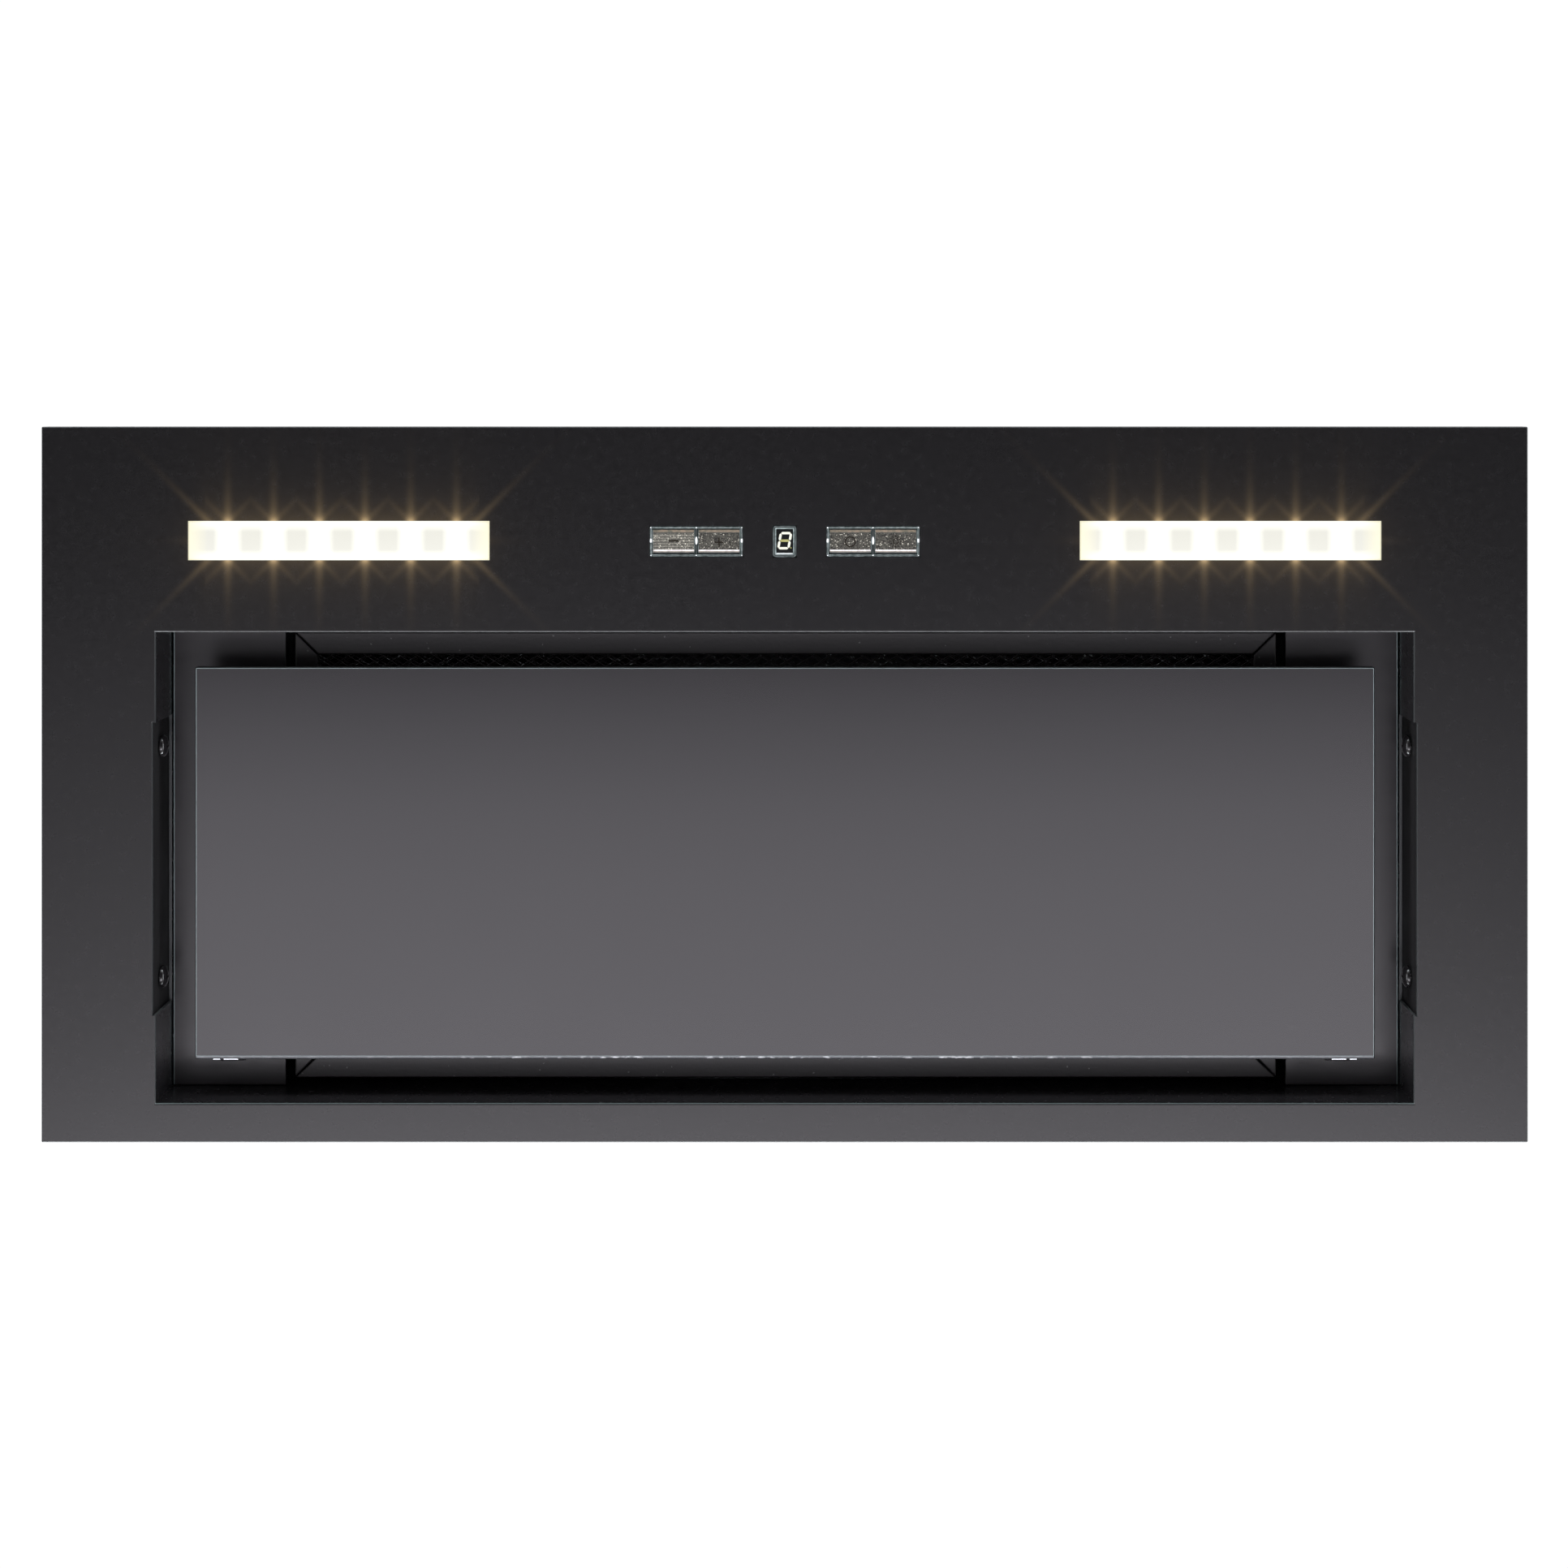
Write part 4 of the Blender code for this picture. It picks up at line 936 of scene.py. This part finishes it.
def frame_ring(bm, centre, half, radius, wall):
    """A clear frame in the sheet: thin rims painted bright as highlights on both sides of a dull wall, and a
    shoulder behind.
    """
    def loop(inset, z, grow=0.0):
        size = (half[0] - inset + grow, half[1] - inset + grow)
        return loop_round(centre, size, max(radius - inset, 0.05 * MM) + grow, z)
    rim = min(0.18 * MM, wall / 3)
    loops = [loop(0, 1.5 * MM), loop(0, 0.3 * MM), loop(rim, 0.12 * MM), loop(wall - rim * 0.7, 0.12 * MM),
             loop(wall, 0.25 * MM), loop(wall, 3 * MM), loop(0, 3 * MM, 2 * MM), loop(0, 1.5 * MM, 2 * MM)]
    banded_ring(bm, loops, (0, 1, 0, 1, 0, 0, 0, 0))


def bead(bm, place, size, finish):
    """A small rounded lens."""
    made = ball(bm, place, Matrix.Identity(3), size, 16)
    for face in {face for vert in made for face in vert.link_faces}:
        face.material_index = finish


def face_of(node):
    """The middle of a frame's face in the sheet, and half its size."""
    low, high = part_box(node)
    centre = ((low.x + high.x) / 2, CONTROL_Y)
    return centre, ((high.x - low.x) / 2 - SHOULDER, (high.y - low.y) / 2 - SHOULDER)


def bezel_for(side):
    def bezel(bm):
        centre, half = face_of("button_bezel_" + side)
        frame_ring(bm, centre, half, 0.4 * MM, 0.6 * MM)
        box(bm, (centre[0] - 0.3 * MM, CONTROL_Y - half[1] + 0.5 * MM, 0.25 * MM),
            (centre[0] + 0.3 * MM, CONTROL_Y + half[1] - 0.5 * MM, 3 * MM))
        # Beads in a bright finish along the ends and the divider: painted highlights.
        for place in (-1, 0, 1):
            x = centre[0] + place * (half[0] - 0.3 * MM)
            long = 1.5 * MM if place == 0 else 1.1 * MM
            bead(bm, (x, CONTROL_Y - 0.3 * MM, 0.3 * MM), (0.42 * MM, long, 0.24 * MM), 2)
            for end in (-1, 1):
                y = CONTROL_Y + end * (half[1] - 0.35 * MM)
                bead(bm, (x, y, 0.2 * MM), (0.3 * MM, 0.2 * MM, 0.15 * MM), 2)
    return bezel


def bar(bm, start, end, width, low, high, finish):
    """A thin straight stroke with square ends."""
    start, end = Vector(start), Vector(end)
    along = (end - start).normalized()
    across = Vector((-along.y, along.x)) * width / 2
    flat_shape(bm, [start - across, end - across, end + across, start + across], low, high, finish)


def turned_ring(bm, x, y, profile, finish=0, steps=64):
    """A closed (radius, z) profile turned round an upright axis."""
    loops = [[(*point, z) for point in circle(x, y, radius, steps)] for radius, z in profile]
    banded_ring(bm, loops, (finish,) * len(profile))


def symbol(bm, name, x):
    """The mark printed on a button: a minus, a plus, a ring for power or a small sun for the light."""
    low, high, ink = FACE_Z - SYMBOL_T, FACE_Z + 0.02 * MM, 5

    def stroke(x0, y0, x1, y1, width):
        start, end = (x + x0 * MM, CONTROL_Y + y0 * MM), (x + x1 * MM, CONTROL_Y + y1 * MM)
        bar(bm, start, end, width * MM, low, high, ink)

    def ring(rise, radius, width):
        outer, inner = radius * MM, (radius - width) * MM
        profile = [(outer, high), (outer, low), (inner, low), (inner, high)]
        turned_ring(bm, x, CONTROL_Y + rise * MM, profile, ink, 40)

    if name == "minus":
        stroke(-1.8, -0.2, 1.8, -0.2, 0.6)
    elif name == "plus":
        stroke(-1.6, 0.3, 1.6, 0.3, 0.48)
        stroke(0, -1.4, 0, 0.12, 0.48)
        stroke(0, 0.48, 0, 2.0, 0.48)
    elif name == "power":
        ring(0.1, 2.0, 0.44)
    else:
        ring(0, 1.1, 0.32)
        for start, end in zip(circle(0, 0, 1.5, 12), circle(0, 0, 2.3, 12)):
            stroke(*start, *end, 0.28)


def cap_for(name):
    def cap(bm):
        """A clear cap with bevelled front and rear over a speckled film, on a square stem."""
        low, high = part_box("button_" + name)
        x = (low.x + high.x) / 2
        half = (high.x - low.x) / 2
        columns = [(-half, 0.3 * MM), (0.3 * MM - half, 0.0), (half - 0.3 * MM, 0.0), (half, 0.3 * MM)]
        skirt = 2.6 * MM
        grid = [[bm.verts.new((x + across, CONTROL_Y + y * MM, FACE_Z + rise * MM + chamfer))
                 for across, chamfer in columns] for y, rise in CAP_STATIONS]
        for row, finish in enumerate(CAP_STRIPS):
            for column, edge in enumerate((1, finish, 1)):
                face = bm.faces.new((grid[row][column], grid[row + 1][column], grid[row + 1][column + 1],
                                     grid[row][column + 1]))
                face.material_index = edge
        outline = ([row[0] for row in grid] + grid[-1][1:] + [row[-1] for row in reversed(grid[:-1])]
                   + grid[0][-2:0:-1])
        foot = [bm.verts.new((vert.co.x, vert.co.y, FACE_Z + skirt)) for vert in outline]
        bridge(bm, outline, foot)
        bm.faces.new(foot)
        bmesh.ops.recalc_face_normals(bm, faces=bm.faces[:])
        box(bm, (x - 2 * MM, CONTROL_Y - 2 * MM, 3 * MM), (x + 2 * MM, CONTROL_Y + 2 * MM, high.z))
        symbol(bm, name, x)
    return cap


def segment(bm, start, end, width, low, high, finish):
    """One bar of the figure, with pointed ends."""
    along = (end - start).normalized() * width / 2
    across = Vector((-along.y, along.x))
    outline = [start, start + along - across, end - along - across, end, end - along + across,
               start + along + across]
    flat_shape(bm, outline, low, high, finish)


def figure(bm):
    """A leaning seven-segment figure, with its middle bar and point unlit."""
    low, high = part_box("display_module")
    x, y, half_w, half_h = (low.x + high.x) / 2, CONTROL_Y - 0.25 * MM, 1.85 * MM, 2.75 * MM
    bottom, top = low.z - 0.08 * MM, low.z + 0.05 * MM

    def at(across, up):
        lean = 0.17 * up * half_h
        return Vector((x + across * half_w + lean, y - up * half_h))

    def lit(start, end, finish=0):
        start, end = at(*start), at(*end)
        inset = (end - start).normalized() * 0.08 * MM
        segment(bm, start + inset, end - inset, 0.86 * MM, bottom, top, finish)

    for up in (-1, 1):
        lit((-1, up), (1, up))
        for side in (-1, 1):
            lit((side, 0), (side, up))
    lit((-1, 0), (1, 0), 1)
    flat_shape(bm, circle(*at(1.45, -0.95), 0.25 * MM, 8), bottom, top, 1)


def display_frame(bm):
    """The display's rounded frame, and inside it a second thin frame round the dark window."""
    centre, half = face_of("display_bezel")
    frame_ring(bm, centre, half, 1.1 * MM, 0.85 * MM)
    profile = ((0.9, 0.9), (0.9, 0.3), (1.12, 0.3), (1.12, 0.9))
    inner = [loop_round(centre, (half[0] - inset * MM, half[1] - inset * MM), 0.25 * MM, z * MM)
             for inset, z in profile]
    banded_ring(bm, inner, (0, 1, 0, 0))
    # A highlight painted as a bright bar along the inside of the frame's rear.
    reach, y = half[0] - 1.2 * MM, centre[1] + half[1] - 1.25 * MM
    bar(bm, (centre[0] - reach, y), (centre[0] + reach, y), 0.4 * MM, 0.3 * MM, 0.8 * MM, 2)


def make_controls():
    for side in ("left", "right"):
        bezel = new_piece("bezel_" + side, bezel_for(side), ["clear_plastic", "clear_rim_highlight", "clear_highlight"])
        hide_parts("button_bezel_" + side)
    for name in ("minus", "plus", "power", "light"):
        film = "button_film_banded" if name == "minus" else "button_film"
        finishes = ["clear_plastic", "clear_rim_highlight", "cap_beige_reflection", "cap_highlight", film, "symbol_ink"]
        cap = new_piece("cap_" + name, cap_for(name), finishes, name + "_button")
        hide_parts("button_" + name)
    frame_piece = new_piece("display_frame", display_frame, ["clear_plastic", "clear_rim_highlight", "clear_highlight"])
    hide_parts("display_bezel")
    new_piece("display_figure", figure, ["segment_lit", "segment_unlit"])


make_controls()


# ---------------------------------------------------------------- screws

HEAD_R = 4.0 * MM
HEAD_H = 2.4 * MM


def screw_mesh(direction, seat, length):
    """A pan-head screw along direction, its head beyond seat, with a cross recess and a threaded shank."""
    def screw(bm):
        dome = [(HEAD_R, 0.0), (HEAD_R, 0.25 * HEAD_H)]
        dome += [(HEAD_R * math.cos(a), HEAD_H * (0.25 + 0.75 * math.sin(a)))
                 for a in (math.radians(15 * n) for n in range(1, 6))]
        profile = [(0.0, -length), (0.9 * MM, -length + 1.2 * MM)]
        turns = int((length - 2 * MM) / (1.0 * MM))
        for n in range(turns):
            z = -length + 1.2 * MM + n * MM
            profile += [(1.35 * MM, z), (1.9 * MM, z + 0.5 * MM)]
        profile += [(1.6 * MM, -0.6 * MM), (1.6 * MM, 0.0)] + dome + [(0.0, HEAD_H)]
        verts = [bm.verts.new((r, 0, z)) for r, z in profile]
        edges = [bm.edges.new(pair) for pair in zip(verts, verts[1:])]
        bmesh.ops.spin(bm, geom=verts + edges, cent=(0, 0, 0), axis=(0, 0, 1), angle=2 * math.pi,
                       steps=28, use_merge=True)
        bmesh.ops.remove_doubles(bm, verts=bm.verts[:], dist=0.005 * MM)
        bmesh.ops.recalc_face_normals(bm, faces=bm.faces[:])
        placed = Matrix.Translation(seat) @ facing(direction).to_4x4()
        bmesh.ops.transform(bm, matrix=placed, verts=bm.verts[:])
    return screw


def cross_cutter(direction, seat):
    """The tapering cross that the screwdriver fits, as a hidden helper."""
    def cross(bm):
        for angle in (0, math.pi / 2):
            made = bmesh.ops.create_cone(bm, cap_ends=True, segments=4, radius1=0.5 * MM, radius2=3.2 * MM,
                                         depth=2.4 * MM)["verts"]
            bmesh.ops.rotate(bm, verts=made, cent=(0, 0, 0), matrix=Matrix.Rotation(math.pi / 4, 3, "Z"))
            bmesh.ops.scale(bm, verts=made, vec=(1, 0.26, 1))
            bmesh.ops.rotate(bm, verts=made, cent=(0, 0, 0), matrix=Matrix.Rotation(angle, 3, "Z"))
        place = Vector(seat) + Vector(direction) * (HEAD_H - 0.6 * MM)
        placed = Matrix.Translation(place) @ facing(direction).to_4x4()
        bmesh.ops.transform(bm, matrix=placed, verts=bm.verts[:])
    return cross


def apply_modifiers(thing):
    """Bakes the modifiers into the mesh."""
    graph = bpy.context.evaluated_depsgraph_get()
    mesh = bpy.data.meshes.new_from_object(thing.evaluated_get(graph), depsgraph=graph)
    thing.modifiers.clear()
    thing.data = mesh


def make_screw(node, direction, slot):
    low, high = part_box(node)
    axis = max(range(3), key=lambda n: abs(direction[n]))
    reach = high if direction[axis] > 0 else low
    back = low if direction[axis] > 0 else high
    seat = (low + high) / 2
    seat[axis] = reach[axis] - math.copysign(HEAD_H, direction[axis])
    length = abs(seat[axis] - back[axis])
    screw = new_piece(node + "_detail", screw_mesh(direction, seat, length), [slot], smooth=50)
    cutter = new_piece(node + "_cross", cross_cutter(direction, seat), [])
    cut = screw.modifiers.new("cross", "BOOLEAN")
    cut.operation = "DIFFERENCE"
    cut.use_self = True
    cut.object = cutter
    apply_modifiers(screw)
    bpy.data.objects.remove(cutter)
    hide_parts(node)


def make_screws():
    for side, x in (("left", 1), ("right", -1)):
        for end in ("front", "rear"):
            make_screw(f"clamp_screw_{side}_{end}", (x, 0, 0), "screw_black")
    for corner in ("front_left", "front_right", "rear_left", "rear_right"):
        make_screw("cover_screw_" + corner, (0, 0, 1), "screw_zinc")


make_screws()


# ---------------------------------------------------------------- housing details

def dome(bm, place, radius, height, direction):
    """A low rivet head on a face that looks along direction."""
    ball(bm, place, facing(direction), (radius, radius, height), 20)


def cover_beads(bm):
    """Pressed stiffening beads across the top cover, either side of the outlet."""
    low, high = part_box("top_cover")
    for side in (-1, 1):
        for n in range(3):
            x = sorted((side * (96 + 30 * n) * MM, side * (108 + 30 * n) * MM))
            box(bm, (x[0], -60 * MM, high.z - 0.4 * MM), (x[1], 88 * MM, high.z + 1.1 * MM))


def lap_seams(bm):
    """The body's sheet laps round its rear corners, as a strip up each."""
    low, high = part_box("hood_body")
    for side in (-1, 1):
        x = sorted((side * (high.x - 17 * MM), side * (high.x - 1 * MM)))
        box(bm, (x[0], high.y - 0.2 * MM, low.z + 0.5 * MM), (x[1], high.y + 0.9 * MM, high.z - 0.5 * MM))


def louvres(bm):
    """Short raised louvres in the front and rear walls, beside the electronics and the blower."""
    low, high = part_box("hood_body")
    for side, y in ((-1, low.y), (1, high.y)):
        for n in range(7):
            z = (74 + 9 * n) * MM
            for x in (-170 * MM, 130 * MM):
                y_span = sorted((y - side * 0.2 * MM, y + side * 1.1 * MM))
                box(bm, (x, y_span[0], z), (x + 46 * MM, y_span[1], z + 3.4 * MM))


def rivets(bm):
    """Rivets up the laps, up the front of the side walls and round the collar's ring."""
    low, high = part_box("hood_body")
    for side in (-1, 1):
        for n in range(5):
            z = low.z + (24 + 37 * n) * MM
            dome(bm, (side * (high.x - 9 * MM), high.y + 0.9 * MM, z), 2.6 * MM, 0.9 * MM, (0, 1, 0))
            dome(bm, (side * high.x, low.y + 14 * MM, z), 2.2 * MM, 0.5 * MM, (side, 0, 0))
    x, y, _ = middle_of("collar_ring")
    top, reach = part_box("collar_ring")[1].z, 67.5 * MM
    for n in range(8):
        angle = math.radians(22.5 + 45 * n)
        place = (x + reach * math.cos(angle), y + reach * math.sin(angle), top)
        dome(bm, place, 2.2 * MM, 0.9 * MM, (0, 0, 1))


def collar_beads(bm):
    """Two rolled beads round the spigot and a safe edge turned over its rim."""
    low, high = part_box("outlet_collar")
    x, y, _ = middle_of("outlet_collar")
    outer, inner, top = (high.x - low.x) / 2, 58 * MM, high.z
    bead_profile = ((-0.3, -2), (0.6, -1.3), (1.1, 0), (0.6, 1.3), (-0.3, 2))
    for z in (top - 9 * MM, top - 30 * MM):
        turned_ring(bm, x, y, [(outer + out * MM, z + rise * MM) for out, rise in bead_profile])
    rim, lip = outer + 0.5 * MM, inner - 0.4 * MM
    turned_ring(bm, x, y, [(lip, top - 4 * MM), (rim, top - 4 * MM), (rim, top - 0.4 * MM),
                           (outer, top), (inner, top), (lip, top - 0.4 * MM)])


def gland_ribs(bm):
    """Grip ribs round the gland's domed nut."""
    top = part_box("cable_gland")[1].z
    x, y, _ = middle_of("cable_gland")
    for n in range(18):
        angle = math.radians(20 * n)
        made = box(bm, (9.0 * MM, -0.5 * MM, top - 11.5 * MM), (9.9 * MM, 0.5 * MM, top - 4.5 * MM))
        bmesh.ops.rotate(bm, verts=made, cent=(0, 0, 0), matrix=Matrix.Rotation(angle, 3, "Z"))
        bmesh.ops.translate(bm, verts=made, vec=(x, y, 0))


def make_housing_details():
    rounded = (("cover_beads", cover_beads, 1.0 * MM), ("lap_seams", lap_seams, 0.3 * MM),
               ("louvres", louvres, 1.0 * MM))
    for name, maker, width in rounded:
        piece = new_piece(name, maker, ["galvanised"], smooth=40)
        bevel(piece, width, 3)
    for name, maker in (("rivets", rivets), ("collar_beads", collar_beads)):
        new_piece(name, maker, ["galvanised"], smooth=40)
    ribs = new_piece("gland_ribs", gland_ribs, ["black_plastic"])
    bevel(ribs, 0.2 * MM, 2)


make_housing_details()


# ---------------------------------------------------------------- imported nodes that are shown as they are

FINISH_OF_SLOT = {"black_sheet": "satin_black", "button_plastic": "button_film",
                  "filter_mesh": "mesh_metal"}
FINISH_OF_NODE = {"side_clamp_left": "clamp_black", "side_clamp_right": "clamp_black"}
ROUNDING = {
    "galvanised": 0.5 * MM, "black_sheet": 0.35 * MM, "grey_plastic": 0.6 * MM, "white_plastic": 0.5 * MM,
    "black_plastic": 0.35 * MM, "circuit_board": 0.15 * MM, "magnet": 0.5 * MM, "motor_steel": 0.6 * MM,
    "screw_zinc": 0.25 * MM, "chrome": 0.25 * MM, "display_black": 0.15 * MM,
}


def dress_nodes():
    """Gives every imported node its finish, and rounds the edges of those that no finer piece stands for."""
    for part in frame["record"]["subparts"]:
        thing = frame["nodes"][part["node"]]
        slot = part["material_slot"]
        thing.data.materials.clear()
        finish = FINISH_OF_NODE.get(part["node"], FINISH_OF_SLOT.get(slot, slot))
        thing.data.materials.append(FINISHES[finish].material)
        if thing.hide_render or slot not in ROUNDING:
            continue
        bevel(thing, ROUNDING[slot], 2, 35)


dress_nodes()


# ---------------------------------------------------------------- stage, light and camera

FLOOR_Z = -1.6
SOFTBOX_Z = -1.15
SOFTBOX_HALF = 1.4        # half its width
SOFTBOX_PEAK = 7.5
# How brightly the softbox glows along Y: (Y in metres, brightness).
SOFTBOX_STEPS = [(-1.4, 0.08), (-0.10, 0.08), (0.03, 0.16), (0.083, 0.52), (0.122, 0.80), (0.185, 1.15),
                 (0.249, 1.33), (0.42, 1.65), (0.52, 5.0), (0.62, 7.5), (0.76, 7.5), (0.92, 2.5),
                 (1.1, 1.0), (1.6, 0.4)]
# Upright glowing sheets low round the hood: two opposite corners, and the colour times its strength.
STRIPS = {
    "strip_rear": ((-1.6, 2.4, -0.7), (1.6, 2.4, -0.1), (14, 14.8, 15.2)),
    "strip_left": ((-2.4, -0.8, -1.1), (-2.4, 1.2, -0.1), (6, 6.3, 6.6)),
    "strip_right": ((2.4, -0.8, -1.1), (2.4, 1.2, -0.1), (6, 6.3, 6.6)),
    "strip_front": ((-1.6, -2.4, -1.0), (1.6, -2.4, -0.3), (7, 7.5, 7.8)),
}


def stage_sheet(name, corners, material, lit=None):
    """A flat sheet of the studio. One that shines on a collection, lit, isn't seen and casts no shadow."""
    mesh = bpy.data.meshes.new(name)
    mesh.from_pydata(corners, [], [(0, 1, 2, 3)])
    mesh.materials.append(material)
    thing = bpy.data.objects.new(name, mesh)
    bpy.context.scene.collection.objects.link(thing)
    if lit:
        thing.visible_camera = False
        thing.visible_shadow = False
        thing.light_linking.receiver_collection = lit
    thing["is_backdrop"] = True


def floor():
    """Matt pale floor that glows a little, so that the softbox's outline doesn't show on it."""
    finish = Finish("pale_floor", (0.75, 0.75, 0.74), 0.8, Emission_Strength=0.28)
    finish.drive("Roughness", finish.span(finish.noise(0.4), 0.3, 0.7, 0.75, 0.8))
    half = 14.0
    corners = [(x, y, FLOOR_Z) for x, y in ((-half, -half), (half, -half), (half, half), (-half, half))]
    stage_sheet("floor", corners, finish.material)


def lit_pieces():
    """Two collections of pieces: the painted ones, all but the galvanised ones that the softbox would burn
    out, and the matt ones, which leave out the glass too, because it would mirror the strips from below."""
    painted = bpy.data.collections.new("painted_pieces")
    matt = bpy.data.collections.new("matt_pieces")
    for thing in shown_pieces():
        finish = thing.data.materials[0]
        if finish == FINISHES["galvanised"].material:
            continue
        painted.objects.link(thing)
        if finish != FINISHES["dark_glass"].material:
            matt.objects.link(thing)
    return painted, matt


def softbox_glow():
    """An emission that follows the softbox's own Y through SOFTBOX_STEPS, and fades towards its sides."""
    material = bpy.data.materials.new("softbox_glow")
    material.use_nodes = True
    material.node_tree.nodes.clear()
    nodes = Nodes(material.node_tree)
    x, y, _ = nodes.axes()
    low, high = SOFTBOX_STEPS[0][0], SOFTBOX_STEPS[-1][0]
    ramp = nodes.node("ValToRGB", {0: nodes.math("DIVIDE", nodes.minus(y, low), high - low)})
    points = ramp.color_ramp.elements
    while len(points) < len(SOFTBOX_STEPS):
        points.new(0.5)
    for point, (place, value) in zip(points, SOFTBOX_STEPS):
        shade = value / SOFTBOX_PEAK
        point.position = (place - low) / (high - low)
        point.color = (shade, 0.97 * shade, 1.04 * shade, 1)
    fade = nodes.span(nodes.size(x), 0.4, 1.15, 1.0, 0.15, "SMOOTHSTEP")
    glow = nodes.node("Emission", {"Color": ramp.outputs[0], "Strength": nodes.times(fade, SOFTBOX_PEAK)})
    nodes.node("OutputMaterial", {"Surface": glow.outputs[0]})
    return material


def lights():
    """A wide soft light under the hood, brighter towards its rear, strips that draw the bright lines along
    its folds, and a large soft lamp above for the housing."""
    painted, matt = lit_pieces()
    x, y0, y1 = SOFTBOX_HALF, SOFTBOX_STEPS[0][0], SOFTBOX_STEPS[-1][0]
    corners = [(-x, y0, SOFTBOX_Z), (x, y0, SOFTBOX_Z), (x, y1, SOFTBOX_Z), (-x, y1, SOFTBOX_Z)]
    stage_sheet("softbox", corners, softbox_glow(), painted)
    for name, ((x0, y0, z0), (x1, y1, z1), color) in STRIPS.items():
        strength = max(color)
        hue = (*(part / strength for part in color), 1)
        finish = Finish(name, (0, 0, 0), 0.5, Emission_Color=hue, Emission_Strength=strength)
        corners = [(x0, y0, z0), (x1, y1, z0), (x1, y1, z1), (x0, y0, z1)]
        stage_sheet(name, corners, finish.material, matt)
    data = bpy.data.lights.new("key", "AREA")
    data.energy = 18
    data.size = 1.6
    thing = bpy.data.objects.new("key", data)
    thing.location = (-1.5, -1.5, 2.0)
    thing.rotation_euler = (Vector((0, 0, 0.1)) - thing.location).to_track_quat("-Z", "Y").to_euler()
    thing.visible_camera = False
    bpy.context.scene.collection.objects.link(thing)


def world():
    """Plain studio surroundings: pure white overhead, and softer all round."""
    made = bpy.data.worlds.new("studio")
    bpy.context.scene.world = made
    made.use_nodes = True
    nodes = Nodes(made.node_tree)
    direction = nodes.node("TexCoord", {}).outputs["Generated"]
    height = nodes.node("SeparateXYZ", {"Vector": direction}).outputs["Z"]
    strength = nodes.span(height, 0.55, 0.72, 0.66, 1.05)
    nodes.fill(nodes.tree.nodes["Background"], {"Color": (1, 1, 1, 1), "Strength": strength})


def camera():
    """Straight up from below, the front of the hood at the top of the picture."""
    data = bpy.data.cameras.new("camera")
    data.sensor_width = 36
    data.lens = 63.22
    data.shift_x = -0.0250
    data.shift_y = -0.2516
    data.clip_end = 100
    thing = bpy.data.objects.new("camera", data)
    thing.location = (0.014, -0.1435, -1.0)
    thing.rotation_euler = (math.pi, 0, 0)
    bpy.context.scene.collection.objects.link(thing)
    bpy.context.scene.camera = thing


lights()
floor()
world()
camera()
bpy.context.scene.view_settings.view_transform = "Standard"
